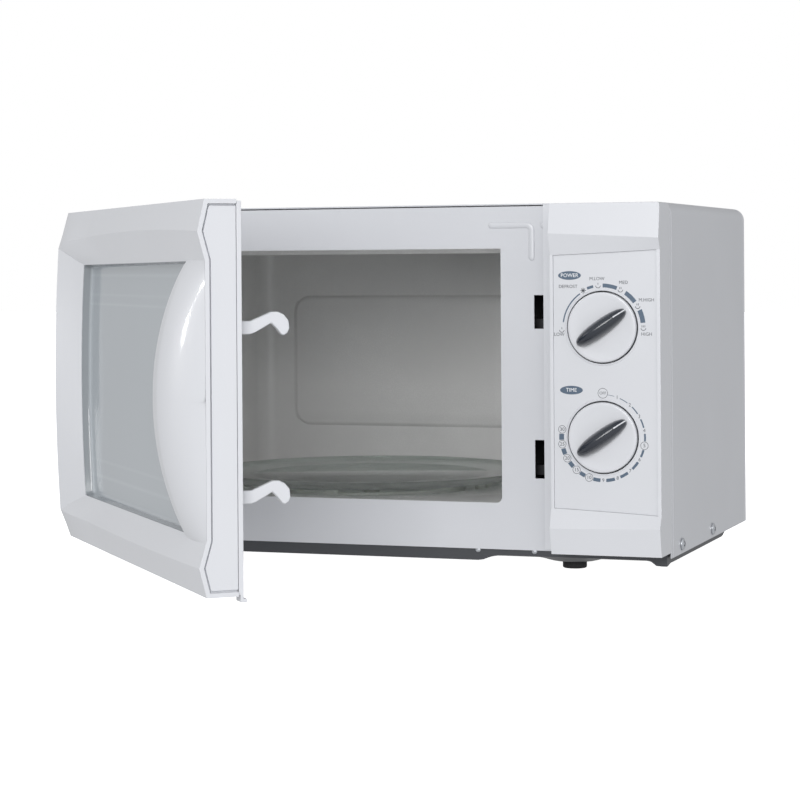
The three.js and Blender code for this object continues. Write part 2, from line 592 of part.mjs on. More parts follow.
function doorFrame() {
  const rows = doorRows();
  const windowOutline = (grow) => roundedRectangle(
    [WINDOW.left - grow, WINDOW.right + grow],
    [WINDOW.bottom - grow, WINDOW.top + grow],
    WINDOW.round + grow);
  const shell = facade([DOOR.left, DOOR.right], DOOR.rim, rows, 9);
  const hollow = cut(
    facade([DOOR.left + WALL, DOOR.right - WALL], DOOR.rim + THROUGH, inward(rows, WALL), 9),
    prismY(windowOutline(WALL), [-30, -WINDOW.seat], 3));
  const levels = [TONGUE.upper, TONGUE.lower];
  const bosses = levels.map((z) => block([DOOR.left + 1, 4], [-5, 4], [z - 6, z + 6]));
  const springStop = block([339, DOOR.right - 1], [0.5, 7.5], [210.3, 213]);
  const pinHoles = levels.map((z) => rodZ(TONGUE.pin + GAP, 0, 0, [z - 4.9, z + 4.9], 12));
  return cut(
    union(cut(shell, hollow), ...bosses, springStop),
    prismY(windowOutline(0), [-30, THROUGH], 3),
    ...pinHoles, ...tongueNotches())
    .add(handleShell());
}

// Room for the fixed hinge tongues to swing out of the door's back corner.
function tongueNotches() {
  return [TONGUE.upper, TONGUE.lower].map((z) =>
    block([DOOR.left - 2, 3.3], [-4.4, DOOR.back + 2], [z - 1.15, z + 1.15]));
}

function doorInnerCover() {
  const outer = [[-3.5, 355.6], [17.2, 252.6]];
  const mouth = [[40, 330], [52, 214]];
  const shrink = ([low, high], by) => [low + by, high - by];
  const plate = cut(
    block(outer[0], [DOOR.rim + GAP, DOOR.back], outer[1]),
    block(shrink(outer[0], 3), [0, DOOR.back - 2], shrink(outer[1], 3)));
  const collarOutline = roundedRectangle(shrink(mouth[0], -2), shrink(mouth[1], -2), 6);
  const collar = prismY(collarOutline, [5.1, DOOR.back - 0.5], 3);
  const opening = prismY(roundedRectangle(...mouth, 4), [0, DOOR.back + THROUGH], 3);
  const hookSlots = [HOOK.upper, HOOK.lower].map((z) =>
    block([HOOK.s - 3.4, HOOK.s + 3.4], [0, DOOR.back + THROUGH], [z - 5.2, z + 11.2]));
  const tab = block([346, 355.6], [DOOR.back - 1, 15], [12.8, 14.9]);
  const tabRoot = block([346, 355.6], [DOOR.back - 2, DOOR.back], [12.8, 19]);
  return cut(union(plate, collar, tab, tabRoot), opening, ...hookSlots, ...tongueNotches());
}

function doorScreen() {
  const tray = block([4.5, 337], [3.2, 9.3], [26, 244]);
  return cut(tray, block([5.5, 336], [4.2, 9.3 + THROUGH], [27, 243]));
}

function hookOutline(z) {
  return outline([
    [4, z - 4.1], [20.8, z - 4.1], [24, z - 3], [29, z - 0.4], [34.3, z + 2.6], [37.6, z - 0.6],
    [40.4, z - 4.4], [42.2, z - 5], [44.6, z - 3.6], [45.8, z - 0.7], [45.2, z + 4.2], [42.2, z + 7.7],
    [38.6, z + 9.4], [34.5, z + 9.4], [28, z + 6.6], [21.4, z + 4], [4, z + 4]]);
}

function latchLever() {
  const across = [HOOK.s - HOOK.thick / 2, HOOK.s + HOOK.thick / 2];
  const bar = block(across, [2, 6], [62, 196]);
  return union(bar, prismX(hookOutline(HOOK.upper), across), prismX(hookOutline(HOOK.lower), across));
}

// ---------------------------------------------------------------- assembly
const SIDE_SCREWS = [{ y: 60, z: 19 }, { y: 160, z: 19 }];
const GLAND = { x: 190, z: 40 };
const FEET = [
  { name: "front_left", x: -FOOT.x, y: FOOT.front },
  { name: "front_right", x: FOOT.x, y: FOOT.front },
  { name: "rear_left", x: -FOOT.x, y: FOOT.rear },
  { name: "rear_right", x: FOOT.x, y: FOOT.rear },
];

fixed("outer_wrapper", outerWrapper(), "whiteSteel");
fixed("rear_panel", rearPanel(), "zincSteel");
fixed("base_pan", basePan(), "darkSteel");
const mouthPlate = frontFrame();
const beyondSeam = (x) => block([x, HALF_WIDTH], [0, 2 * FRAME.y], [0, WRAP.top]);
fixed("front_frame", cut(mouthPlate, beyondSeam(FRAME.seam)), "whiteSteel");
fixed("latch_plate", mouthPlate.intersect(beyondSeam(FRAME.seam + GAP)), "whiteSteel");
fixed("cavity_liner", cavityLiner(), "cavityEnamel");
for (const [side, hand] of [["right", 1], ["left", -1]]) {
  SIDE_SCREWS.forEach((spot, index) => {
    fixed(`wrapper_screw_${side}_${index + 1}`, sideScrew(hand, spot), "zincSteel");
  });
}
for (const spot of FEET) fixed(`foot_${spot.name}`, foot(spot), "rubber");
fixed("cord_gland", cut(
  union(rodY(6.5, GLAND.x, GLAND.z, [REAR_Y - 5, REAR_Y + 3], 12),
    rodY(9.5, GLAND.x, GLAND.z, [REAR_Y - 5, REAR_Y - GAP], 12)),
  rodY(3.5, GLAND.x, GLAND.z, [REAR_Y - 10, REAR_Y + 10], 8)), "blackPlastic");

fixed("waveguide", waveguide(), "zincSteel");
fixed("waveguide_cover", block([CAVITY.right - 1.2, CAVITY.right - GAP], [134, 186], [146, 198]), "mica");
fixed("magnetron", magnetron(), "zincSteel");
fixed("hv_transformer", transformer(), "darkSteel");
fixed("hv_capacitor", capacitor(), "zincSteel");
fixed("hv_diode", diode(), "blackPlastic");
fixed("fan_shroud", fanShroud(), "zincSteel");
fixed("fan_motor", fanMotor(), "copper");
fixed("fan_blade", fanBlade(), "blackPlastic");
fixed("oven_lamp", ovenLamp(), "glass");
fixed("line_filter_board", filterBoard(), "boardGreen");
fixed("thermal_cutout", union(
  rodZ(9, 60, 150, [CAVITY.ceiling + SHEET + GAP, CAVITY.ceiling + 9], 12),
  block([46, 74], [147, 153], [CAVITY.ceiling + SHEET + GAP, CAVITY.ceiling + 2.5])), "blackPlastic");

fixed("turntable_motor", turntableMotor(), "zincSteel");
fixed("drive_coupler", driveCoupler(), "whitePlastic");
fixed("glass_tray", glassTray(), "glass");
fixed("roller_ring", rollerRing(), "whitePlastic");
[0, 1, 2].forEach((turn) => fixed(`roller_${turn + 1}`, roller(turn), "whitePlastic"));

fixed("latch_board", latchBoard(), "whitePlastic");
for (const [side, z] of [["upper", HOOK.upper], ["lower", HOOK.lower]]) {
  fixed(`${side}_interlock_switch`, interlockSwitch(z), "blackPlastic");
  fixed(`${side}_switch_plunger`, switchPlunger(z), "whitePlastic");
}

fixed("control_panel", controlPanel(), "whitePlastic");
fixed("panel_edge", panelEdge(), "whitePlastic");
fixed("dial_plate", dialPlate(), "overlay");
fixed("control_bracket", controlBracket(), "zincSteel");
for (const [dial, z, high] of [["power", POWER_Z, 58], ["timer", TIMER_Z, 62]]) {
  fixed(`${dial}_switch_unit`, switchUnit(z, high), "blackPlastic");
  fixed(`${dial}_shaft`, shaft(z), "zincSteel");
  fixed(`${dial}_knob`, knob(z), "whitePlastic");
  fixed(`${dial}_grip`, grip(z), "dialGrey");
}

fixed("upper_hinge_bracket", hingeBracket(TONGUE.upper), "zincSteel");
fixed("lower_hinge_bracket", hingeBracket(TONGUE.lower), "zincSteel");
onDoor("door_frame", doorFrame(), "whitePlastic");
onDoor("door_window", block([31, 340], [-WINDOW.seat + GAP, 0], [44, 222.5]), "smokedWindow");
onDoor("door_screen", doorScreen(), "darkSteel");
onDoor("door_film", block([36, 334], [4.5, 4.9], [48, 218]), "smokedWindow");
onDoor("door_inner_cover", doorInnerCover(), "whitePlastic");
onDoor("latch_lever", latchLever(), "whitePlastic");
onDoor("latch_spring", rodZ(2.2, HOOK.s, 4, [196.3, 210], 8), "zincSteel");

// The origin is the middle of the whole oven's footprint, door included, where it stands.
const extent = new THREE.Box3().setFromObject(oven, true);
oven.position.set(-(extent.min.x + extent.max.x) / 2, -(extent.min.y + extent.max.y) / 2, -extent.min.z);
oven.updateMatrixWorld(true);

export default oven;
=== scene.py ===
"""Countertop microwave oven with two rotary dials, its door ajar on a plain studio floor."""
import json
import math

import bmesh
import bpy
from mathutils import Matrix, Vector


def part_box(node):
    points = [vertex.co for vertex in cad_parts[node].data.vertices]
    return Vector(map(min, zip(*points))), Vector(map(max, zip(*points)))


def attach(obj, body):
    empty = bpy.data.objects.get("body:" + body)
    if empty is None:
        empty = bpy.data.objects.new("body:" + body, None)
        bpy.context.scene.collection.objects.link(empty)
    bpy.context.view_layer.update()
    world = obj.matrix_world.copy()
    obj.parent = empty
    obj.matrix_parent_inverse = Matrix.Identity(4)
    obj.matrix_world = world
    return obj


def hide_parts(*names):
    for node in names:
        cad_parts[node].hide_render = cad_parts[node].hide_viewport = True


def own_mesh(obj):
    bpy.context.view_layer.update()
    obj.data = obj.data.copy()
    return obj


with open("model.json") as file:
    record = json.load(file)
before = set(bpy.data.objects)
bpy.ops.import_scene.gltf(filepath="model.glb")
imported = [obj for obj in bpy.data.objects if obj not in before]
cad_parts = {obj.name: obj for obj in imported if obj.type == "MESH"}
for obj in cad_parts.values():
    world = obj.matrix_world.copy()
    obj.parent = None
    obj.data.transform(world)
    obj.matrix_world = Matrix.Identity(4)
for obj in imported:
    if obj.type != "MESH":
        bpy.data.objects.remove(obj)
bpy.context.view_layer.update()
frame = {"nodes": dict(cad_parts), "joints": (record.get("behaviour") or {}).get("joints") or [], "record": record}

bl_info = {
    "name": "Microwave oven",
    "version": (1, 0, 0),
    "blender": (4, 5, 0),
    "location": "View3D > Sidebar > Oven",
    "description": "Builds a countertop microwave oven with two rotary dials and a crescent door handle",
    "category": "Object",
}

# ------------------------------------------------------------------ places, in millimetres
# The cabinet's frame has X across from its middle, Y back from the control panel's edge plane and
# Z up from the floor. The door's frame has its origin on the hinge line and X along the door.
MM = 0.001
WRAP_BACK = 284.3
WRAP_TOP = 255.7
HALF_WIDTH = 220.0
wrap_low, wrap_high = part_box("outer_wrapper")
cabinet_origin = Vector(((wrap_low.x + wrap_high.x) / 2, wrap_high.y - WRAP_BACK * MM, 0))
CABINET = Matrix.Translation(cabinet_origin) @ Matrix.Scale(MM, 4)
hinge = next(joint for joint in frame["joints"] if joint["name"] == "door_hinge")
DOOR_ANGLE = math.radians(hinge["range_deg"][0])
DOOR_ORIGIN = Vector((hinge["pos_m"][0], hinge["pos_m"][1], 0))
DOOR = (Matrix.Translation(DOOR_ORIGIN)
        @ Matrix.Rotation(DOOR_ANGLE, 4, "Z") @ Matrix.Scale(MM, 4))
HINGE_X = -214.2  # the hinge line in the cabinet's frame

DIAL_X = 179.8
POWER_Z = 170.6
TIMER_Z = 96.2
KNOB_RADIUS = 23.8
WELL_RADIUS = 24.7  # the hole that a knob turns in
PANEL_LEFT = 143.4
PLATE_FRONT = 1.0  # depth of the dial plate's face behind the panel's edge plane
POINTER_ANGLE = math.radians(35)

WINDOW_LEFT, WINDOW_RIGHT = 38.0, 335.0
WINDOW_BOTTOM, WINDOW_TOP = 50.5, 215.3  # the top rises a little from the left to the right
DOOR_LEFT, DOOR_RIGHT = -5.8, 356.2
DOOR_BOTTOM, DOOR_TOP = 16.4, 253.6
DOOR_FACE = 10.2  # the door's flat face stands this far in front of the hinge line
DOOR_RIM = 9.4  # the moulding's side walls reach this far behind the hinge line
CAVITY_LEFT, CAVITY_RIGHT = -185.0, 101.0
CAVITY_FLOOR, CAVITY_CEILING = 47.6, 224.7
CAVITY_FRONT, CAVITY_BACK = 26.3, 278.0
TABLE_X, TABLE_Y = -42.0, 150.0
FRAME_FRONT = 25.0
FIELD_BOTTOM, FIELD_TOP = 50.4, 217.0  # the dial plate's field in the middle of the facia
FEET = {"front_left": (-143, 61), "front_right": (143, 61), "rear_left": (-143, 240), "rear_right": (143, 240)}
ANY = (-1000.0, 1000.0)  # a span that reaches past everything
TURN = 2 * math.pi


# ------------------------------------------------------------------ what a user may change
def length(name, description, default):
    return bpy.props.FloatProperty(
        name=name, description=description, default=default * MM, min=0,
        unit="LENGTH", subtype="DISTANCE", precision=5)


def colour(name, description, default):
    return bpy.props.FloatVectorProperty(
        name=name, description=description, default=default, size=4, min=0, max=1, subtype="COLOR")


class OvenSizes(bpy.types.PropertyGroup):
    """Sizes of the oven's looks."""
    ridge_rise: length("Ridge rise", "How far the two bowed ridges stand in front of the door and panel", 4.4)
    stile_bulge: length("Stile bulge", "How far the hinge stile of the door stands in front of its face", 11.2)
    handle_rise: length("Handle rise", "How far the crescent handle stands in front of the door", 14.6)
    handle_bow: length("Handle bow", "How far the handle's free edge bows towards the window", 34.0)
    plastic_wall: length("Plastic wall", "Thickness of the moulded door and panel", 2.2)
    sheet: length("Sheet", "Thickness of the painted steel sheet", 1.0)
    edge_round: length("Edge rounding", "Width of the small round on moulded edges", 0.7)
    print_rise: length("Print thickness", "Thickness of the printed marks on the dial plate", 0.06)
    spring_wire: length("Spring wire", "Diameter of the latch spring's wire", 0.7)


class OvenColours(bpy.types.PropertyGroup):
    """Colours of the oven's finishes."""
    enamel: colour("Enamel", "Painted steel of the cabinet and front frame", (0.62, 0.63, 0.66, 1))
    plastic: colour("Plastic", "White moulded plastic", (0.68, 0.69, 0.72, 1))
    chamber: colour("Chamber", "Enamel inside the oven chamber", (0.79, 0.785, 0.78, 1))
    pan: colour("Base pan", "Dark paint of the base pan", (0.045, 0.048, 0.055, 1))
    glazing: colour("Glazing", "The door's tinted window", (0.47, 0.505, 0.535, 1))
    grip: colour("Grip", "The dark grips of the dials", (0.017, 0.022, 0.033, 1))
    marks: colour("Marks", "Bars and badges on the dial plate", (0.085, 0.125, 0.18, 1))
    lettering: colour("Lettering", "Small letters and icons on the dial plate", (0.07, 0.078, 0.09, 1))
    floor: colour("Floor", "The studio floor", (0.9, 0.9, 0.9, 1))


# ------------------------------------------------------------------ finishes
class Value:
    """A node socket that can stand in a sum."""

    def __init__(self, finish, socket):
        self.finish = finish
        self.socket = socket

    def maths(self, operation, *terms):
        return self.finish.node("ShaderNodeMath", {"operation": operation}, dict(enumerate(terms)), "Value")

    def __add__(self, other):
        return self.maths("ADD", self, other)

    def __sub__(self, other):
        return self.maths("SUBTRACT", self, other)

    def __rsub__(self, other):
        return self.maths("SUBTRACT", other, self)

    def __mul__(self, other):
        return self.maths("MULTIPLY", self, other)

    __radd__ = __add__
    __rmul__ = __mul__


class Nodes:
    """A node tree, and one way to make a node in it."""

    def __init__(self, tree):
        self.tree = tree
        tree.nodes.clear()

    def node(self, kind, settings, inputs, output):
        made = self.tree.nodes.new(kind)
        for name, value in settings.items():
            if name == "stops":
                self.set_stops(made.color_ramp, value)
            else:
                setattr(made, name, value)
        for name, value in inputs.items():
            self.feed(made.inputs[name], value)
        return Value(self, made.outputs[output]) if output is not None else made

    def feed(self, socket, value):
        if isinstance(value, Value):
            self.tree.links.new(value.socket, socket)
        else:
            socket.default_value = value

    @staticmethod
    def set_stops(ramp, stops):
        while len(ramp.elements) < len(stops):
            ramp.elements.new(1)
        for element, (position, shade) in zip(ramp.elements, stops):
            element.position = position
            element.color = (shade, shade, shade, 1)


class Finish(Nodes):
    """A material with one Principled shader, and the nodes that vary it."""

    def __init__(self, name):
        self.material = bpy.data.materials.new(name)
        self.material.use_nodes = True
        super().__init__(self.material.node_tree)
        self.shader = self.node("ShaderNodeBsdfPrincipled", {}, {}, None)
        self.node("ShaderNodeOutputMaterial", {}, {"Surface": Value(self, self.shader.outputs["BSDF"])}, None)
        self.place = self.node("ShaderNodeTexCoord", {}, {}, "Object")

    def made(self, **values):
        """Feeds the shader's sockets and returns the finished material."""
        for name, value in values.items():
            self.feed(self.shader.inputs[name.replace("_", " ")], value)
        return self.material

    def stretched(self, scale):
        return self.node("ShaderNodeMapping", {}, {"Vector": self.place, "Scale": scale}, "Vector")

    def noise(self, scale, detail=2.0, place=None):
        inputs = {"Vector": place or self.place, "Scale": scale, "Detail": detail}
        return self.node("ShaderNodeTexNoise", {}, inputs, "Fac")

    def cells(self, scale, feature="F1", output="Distance"):
        return self.node("ShaderNodeTexVoronoi", {"feature": feature}, {"Vector": self.place, "Scale": scale}, output)

    def bands(self, direction, scale, distortion):
        inputs = {"Vector": self.place, "Scale": scale, "Distortion": distortion}
        return self.node("ShaderNodeTexWave", {"bands_direction": direction}, inputs, "Fac")

    def ramp(self, factor, *stops):
        return self.node("ShaderNodeValToRGB", {"stops": stops}, {"Fac": factor}, "Color")

    def tint(self, factor, first, second):
        return self.node("ShaderNodeMix", {"data_type": "RGBA"}, {0: factor, 6: first, 7: second}, 2)

    def bump(self, height, depth):
        """Surface relief from a height, with its depth in millimetres."""
        return self.node("ShaderNodeBump", {}, {"Height": height, "Distance": depth * MM}, "Normal")


def shade(colour_value, factor):
    return tuple(min(1.0, part * factor) for part in colour_value[:3]) + (1.0,)


def painted_steel(name, base, roughness=0.3, peel=0.035):
    """Powder paint on sheet steel: orange peel, faint blotches and uneven gloss."""
    finish = Finish(name)
    blotch = finish.noise(14.0, 3.0)
    peel_noise = finish.noise(420.0, 2.0)
    dust = finish.noise(1900.0, 1.0)
    return finish.made(
        Base_Color=finish.tint(blotch, shade(base, 0.965), shade(base, 1.03)),
        Roughness=roughness - 0.06 + blotch * 0.07 + dust * 0.06,
        Normal=finish.bump(peel_noise + dust * 0.25, peel), Coat_Weight=0.25, Coat_Roughness=0.12)


def moulded_plastic(name, base, roughness=0.27, grain=0.02, gloss=0.35):
    """Injection-moulded plastic: very fine grain, soft flow marks and light handling marks."""
    finish = Finish(name)
    flow = finish.noise(9.0, 4.0)
    fine = finish.noise(2600.0, 2.0)
    wear = finish.ramp(finish.noise(60.0, 5.0), (0.45, 0.0), (0.75, 1.0))
    return finish.made(
        Base_Color=finish.tint(flow, shade(base, 0.975), shade(base, 1.02)),
        Roughness=roughness + wear * 0.04 + fine * 0.04,
        Normal=finish.bump(fine + flow * 0.8, grain), Coat_Weight=gloss, Coat_Roughness=0.08, IOR=1.47)


def plated_steel(name, base, roughness=0.34, spangle=110.0):
    """Zinc-plated sheet: crystal spangles with a shade of their own and fine rolling lines."""
    finish = Finish(name)
    crystals = finish.cells(spangle, output="Color")
    rolled = finish.noise(90.0, 3.0, finish.stretched((1, 1, 18)))
    mottled = finish.tint(crystals, shade(base, 0.9), shade(base, 1.07))
    return finish.made(
        Base_Color=finish.tint(0.35, mottled, base), Metallic=0.9,
        Roughness=roughness - 0.08 + finish.cells(spangle) * 0.16 + rolled * 0.1,
        Normal=finish.bump(rolled, 0.03))


def rubber(name, base):
    """Moulded rubber: speckled, with a dry bloom."""
    finish = Finish(name)
    bloom = finish.noise(130.0, 4.0)
    speck = finish.noise(3000.0, 1.0)
    return finish.made(
        Base_Color=finish.tint(bloom, base, shade(base, 1.8)), Roughness=0.72 + speck * 0.15,
        Normal=finish.bump(speck, 0.05))


def laminated_steel(name):
    """The transformer's stack of varnished plates, seen from their edges."""
    finish = Finish(name)
    plates = finish.bands("X", 320.0, 0.4)
    rust = finish.ramp(finish.noise(45.0, 5.0), (0.55, 0.0), (0.8, 1.0))
    varnish = finish.tint(plates, (0.05, 0.05, 0.055, 1), (0.16, 0.15, 0.14, 1))
    return finish.made(
        Base_Color=finish.tint(rust, varnish, (0.2, 0.09, 0.04, 1)), Metallic=0.6, Roughness=0.4 + rust * 0.35,
        Normal=finish.bump(plates, 0.2))


def copper_wire(name):
    """Lacquered copper winding."""
    finish = Finish(name)
    turns = finish.bands("Z", 420.0, 0.8)
    return finish.made(
        Base_Color=finish.tint(turns, (0.32, 0.11, 0.045, 1), (0.62, 0.27, 0.12, 1)), Metallic=0.85,
        Roughness=0.28 + turns * 0.12, Normal=finish.bump(turns, 0.25))


def printed_board(name):
    """A green printed circuit board with tinned tracks."""
    finish = Finish(name)
    tracks = finish.ramp(finish.cells(160.0, "DISTANCE_TO_EDGE"), (0.05, 1.0), (0.09, 0.0))
    return finish.made(
        Base_Color=finish.tint(tracks, (0.03, 0.16, 0.075, 1), (0.1, 0.32, 0.14, 1)),
        Roughness=0.38 - tracks * 0.1, Normal=finish.bump(tracks, 0.05))


def mica(name):
    """The pressed mica sheet over the wave guide's mouth."""
    finish = Finish(name)
    flakes = finish.cells(420.0, output="Color")
    cloud = finish.noise(70.0, 4.0)
    pressed = finish.tint(cloud, (0.42, 0.37, 0.29, 1), (0.6, 0.55, 0.45, 1))
    return finish.made(
        Base_Color=finish.tint(0.25, pressed, flakes), Roughness=0.45 + cloud * 0.2, Normal=finish.bump(cloud, 0.06),
        Sheen_Weight=0.1)


def clear_glass(name):
    """The turntable's pressed soda glass: clear, faintly green, with soft ripples."""
    finish = Finish(name)
    ripple = finish.noise(60.0, 2.0)
    film = finish.ramp(finish.noise(35.0, 4.0), (0.5, 0.0), (0.8, 1.0))
    return finish.made(
        Base_Color=(0.8, 0.89, 0.84, 1), Roughness=0.03 + film * 0.05, Transmission_Weight=1.0, IOR=1.5,
        Alpha=0.85, Normal=finish.bump(ripple, 0.06))


def door_place(finish):
    """Along the door, out of its face and up, in metres, as three values."""
    turn = {"Vector": finish.place, "Location": (-DOOR_ORIGIN.x, -DOOR_ORIGIN.y, 0)}
    shifted = finish.node("ShaderNodeMapping", {}, turn, "Vector")
    straight = finish.node("ShaderNodeMapping", {}, {"Vector": shifted, "Rotation": (0, 0, -DOOR_ANGLE)}, "Vector")
    return [finish.node("ShaderNodeSeparateXYZ", {}, {"Vector": straight}, axis) for axis in "XYZ"]


def tinted_window(name, base):
    """The door's outer pane: a tinted, glossy tray with faint printed lines, and painted shade that darkens its side
    walls.
    """
    finish = Finish(name)
    _, depth, height = door_place(finish)
    haze = finish.noise(7.0, 2.0)
    # painted shade: this ramp darkens the tray's side walls towards the front, standing in for the shade inside the
    # window's recess
    walls = finish.ramp(depth * -100.0, (0.42, 0.0), (0.56, 1.0))
    faint = finish.ramp(
        height * 4.0, (0.0, 0), (0.255, 0), (0.262, 0.5), (0.27, 0), (0.3, 0), (0.306, 0.4), (0.312, 0), (0.745, 0),
        (0.75, 0.5), (0.756, 0), (0.772, 0), (0.776, 0.4), (0.782, 0), (0.826, 0), (0.831, 0.6), (0.838, 0))
    glass = finish.tint(haze, shade(base, 0.97), shade(base, 1.03))
    lined = finish.tint(faint * 0.35, glass, shade(base, 1.4))
    return finish.made(
        Base_Color=finish.tint(walls, lined, shade(base, 0.66)), Roughness=0.09 + haze * 0.05,
        Alpha=0.93, Coat_Weight=0.4, Coat_Roughness=0.04)


def clear_film(name, base):
    """The thin clear sheet over the inside of the door's screen."""
    finish = Finish(name)
    haze = finish.noise(25.0, 3.0)
    return finish.made(
        Base_Color=base, Roughness=0.12 + haze * 0.12, Alpha=0.35, Coat_Weight=0.3, Normal=finish.bump(haze, 0.15))


def screen_steel(name, base):
    """The door's microwave screen: painted steel with close rows of small holes."""
    finish = Finish(name)
    frequency = math.pi / (1.7 * MM)
    along, _, upward = door_place(finish)
    across_wave, up_wave = (place.maths("SINE", place * frequency) for place in (along, upward))
    holes = finish.ramp(across_wave * across_wave * up_wave * up_wave, (0.32, 0.0), (0.48, 1.0))
    return finish.made(
        Base_Color=finish.tint(holes, base, (0.03, 0.03, 0.03, 1)), Roughness=0.4 + holes * 0.3,
        Metallic=0.3 - holes * 0.3, Normal=finish.bump(1.0 - holes, 0.3))


def printed_ink(name, base):
    """Screen-printed ink with a slightly uneven edge of gloss."""
    finish = Finish(name)
    mottle = finish.noise(1500.0, 2.0)
    return finish.made(
        Base_Color=finish.tint(mottle, shade(base, 0.9), shade(base, 1.1)), Roughness=0.35 + mottle * 0.1,
        Normal=finish.bump(mottle, 0.005))


def studio_floor(name, base):
    """The pale floor, which shines white by itself."""
    finish = Finish(name)
    cloud = finish.noise(1.5, 3.0)
    return finish.made(
        Base_Color=finish.tint(cloud, shade(base, 0.985), base), Roughness=0.6 + cloud * 0.1,
        Emission_Color=(1, 1, 1, 1), Emission_Strength=1.0)


FINISHES = {}


def finish_for(slot):
    """The shared material of a slot, made once."""
    if slot in FINISHES:
        return FINISHES[slot]
    colours = bpy.context.scene.oven_colours
    makers = {
        "white_enamel": (painted_steel, colours.enamel),
        "white_plastic": (moulded_plastic, colours.plastic),
        "natural_plastic": (moulded_plastic, (0.72, 0.72, 0.69, 1), 0.36, 0.03, 0.1),
        "cavity_enamel": (painted_steel, colours.chamber, 0.26, 0.03),
        "dark_pan": (painted_steel, colours.pan, 0.42, 0.05),
        "zinc_steel": (plated_steel, (0.6, 0.62, 0.64, 1)),
        "screw_steel": (plated_steel, (0.55, 0.57, 0.6, 1), 0.25, 900.0),
        "door_steel": (screen_steel, (0.42, 0.44, 0.46, 1)),
        "foot_rubber": (rubber, (0.012, 0.012, 0.013, 1)),
        "black_plastic": (moulded_plastic, (0.022, 0.022, 0.025, 1), 0.4, 0.03, 0.1),
        "mica_sheet": (mica,),
        "transformer_core": (laminated_steel,),
        "copper_winding": (copper_wire,),
        "circuit_board": (printed_board,),
        "clear_glass": (clear_glass,),
        "window_panel": (tinted_window, colours.glazing),
        "window_film": (clear_film, (0.6, 0.62, 0.63, 1)),
        "dial_overlay": (moulded_plastic, shade(colours.plastic, 0.98), 0.2, 0.01, 0.5),
        "dial_grey": (moulded_plastic, colours.grip, 0.2, 0.01, 0.6),
        "ink_marks": (printed_ink, colours.marks),
        "ink_letters": (printed_ink, colours.lettering),
        "ink_white": (printed_ink, (0.85, 0.86, 0.88, 1)),
        "floor": (studio_floor, colours.floor),
    }
    maker, *choices = makers[slot]
    FINISHES[slot] = maker(slot, *choices)
    return FINISHES[slot]


# ------------------------------------------------------------------ shapes
def sheet_of(columns, rows, place):
    """A grid of faces whose corners are placed by a formula of their column and row."""
    bm = bmesh.new()
    bmesh.ops.create_grid(bm, x_segments=columns, y_segments=rows, size=1)
    for corner in bm.verts:
        across = round((corner.co.x + 1) / 2 * columns)
        along = round((corner.co.y + 1) / 2 * rows)
        corner.co = place(across, along)
    return bm


def block(size, centre):
    """A box about a centre."""
    bm = bmesh.new()
    bmesh.ops.create_cube(bm, size=1)
    return moved(bm, Matrix.Translation(centre) @ Matrix.Diagonal((*size, 1)))


def rim_edges(bm, test):
    """The open edges whose corners both pass a test."""
    return [edge for edge in bm.edges if edge.is_boundary and all(test(v.co) for v in edge.verts)]


def drawn(bm, edges, move):
    """Extrudes open edges and moves the new corners, then returns the new open edges."""
    made = bmesh.ops.extrude_edge_only(bm, edges=edges)["geom"]
    for part in made:
        if isinstance(part, bmesh.types.BMVert):
            part.co = move(part.co.copy())
    return [part for part in made if isinstance(part, bmesh.types.BMEdge) and part.is_boundary]


def drop_faces(bm, test):
    bmesh.ops.delete(bm, geom=[face for face in bm.faces if test(face)], context="FACES")


def sliced(bm, point, normal, trim=False):
    """Cuts a bmesh along a plane, and trims what lies beyond it if asked."""
    everything = bm.verts[:] + bm.edges[:] + bm.faces[:]
    bmesh.ops.bisect_plane(bm, geom=everything, plane_co=point, plane_no=normal, clear_outer=trim, dist=1e-4)


def trimmed(bm, axis, low, high):
    """Keeps what lies between two levels along an axis."""
    normal = Vector([float(axis == i) for i in range(3)])
    sliced(bm, normal * low, -normal, True)
    sliced(bm, normal * high, normal, True)


def cut_away(bm, region):
    """Removes the faces of a bmesh that lie in a box, after slicing along the box's sides."""
    for axis, span in enumerate(region):
        normal = Vector([float(axis == i) for i in range(3)])
        for level in () if span == ANY else span:
            sliced(bm, normal * level, normal)
    slack = 1e-3
    drop_faces(bm, lambda face: all(
        low - slack <= part <= high + slack for part, (low, high) in zip(face.calc_center_median(), region)))


def facing(bm, direction, counted=lambda face: True):
    """Turns all faces of a sheet the same way, so that the counted ones look in a direction as a whole."""
    bmesh.ops.recalc_face_normals(bm, faces=bm.faces)
    towards = Vector(direction)
    if sum(face.normal.dot(towards) * face.calc_area() for face in bm.faces if counted(face)) < 0:
        bmesh.ops.reverse_faces(bm, faces=bm.faces)


def thickened(bm, wall):
    bmesh.ops.solidify(bm, geom=bm.faces, thickness=wall)
    return bm


def bevelled(bm, corners, width, segments, affect="EDGES", clamp=False):
    bmesh.ops.bevel(
        bm, geom=corners, offset=width, affect=affect, segments=segments, profile=0.5, material=-1,
        clamp_overlap=clamp, offset_type="OFFSET")


def turned(profile, steps, axis="Z", centre=(0, 0, 0)):
    """A full turn of a profile of [radius, height] points about an axis through the centre."""
    bm = bmesh.new()
    corners = [bm.verts.new((radius, 0, height)) for radius, height in profile]
    edges = [bm.edges.new(pair) for pair in zip(corners, corners[1:])]
    bmesh.ops.spin(
        bm, geom=corners + edges, cent=(0, 0, 0), axis=(0, 0, 1), angle=TURN, steps=steps, use_merge=True)
    bmesh.ops.remove_doubles(bm, verts=bm.verts, dist=1e-4)
    turn = {"Z": Matrix.Identity(4), "Y": Matrix.Rotation(-math.pi / 2, 4, "X"),
            "X": Matrix.Rotation(math.pi / 2, 4, "Y")}
    return moved(bm, Matrix.Translation(centre) @ turn[axis])


def joined(*parts):
    """Several bmeshes as one. The others are freed."""
    whole = bmesh.new()
    for part in parts:
        holder = bpy.data.meshes.new("holder")
        part.to_mesh(holder)
        part.free()
        whole.from_mesh(holder)
        bpy.data.meshes.remove(holder)
    return whole


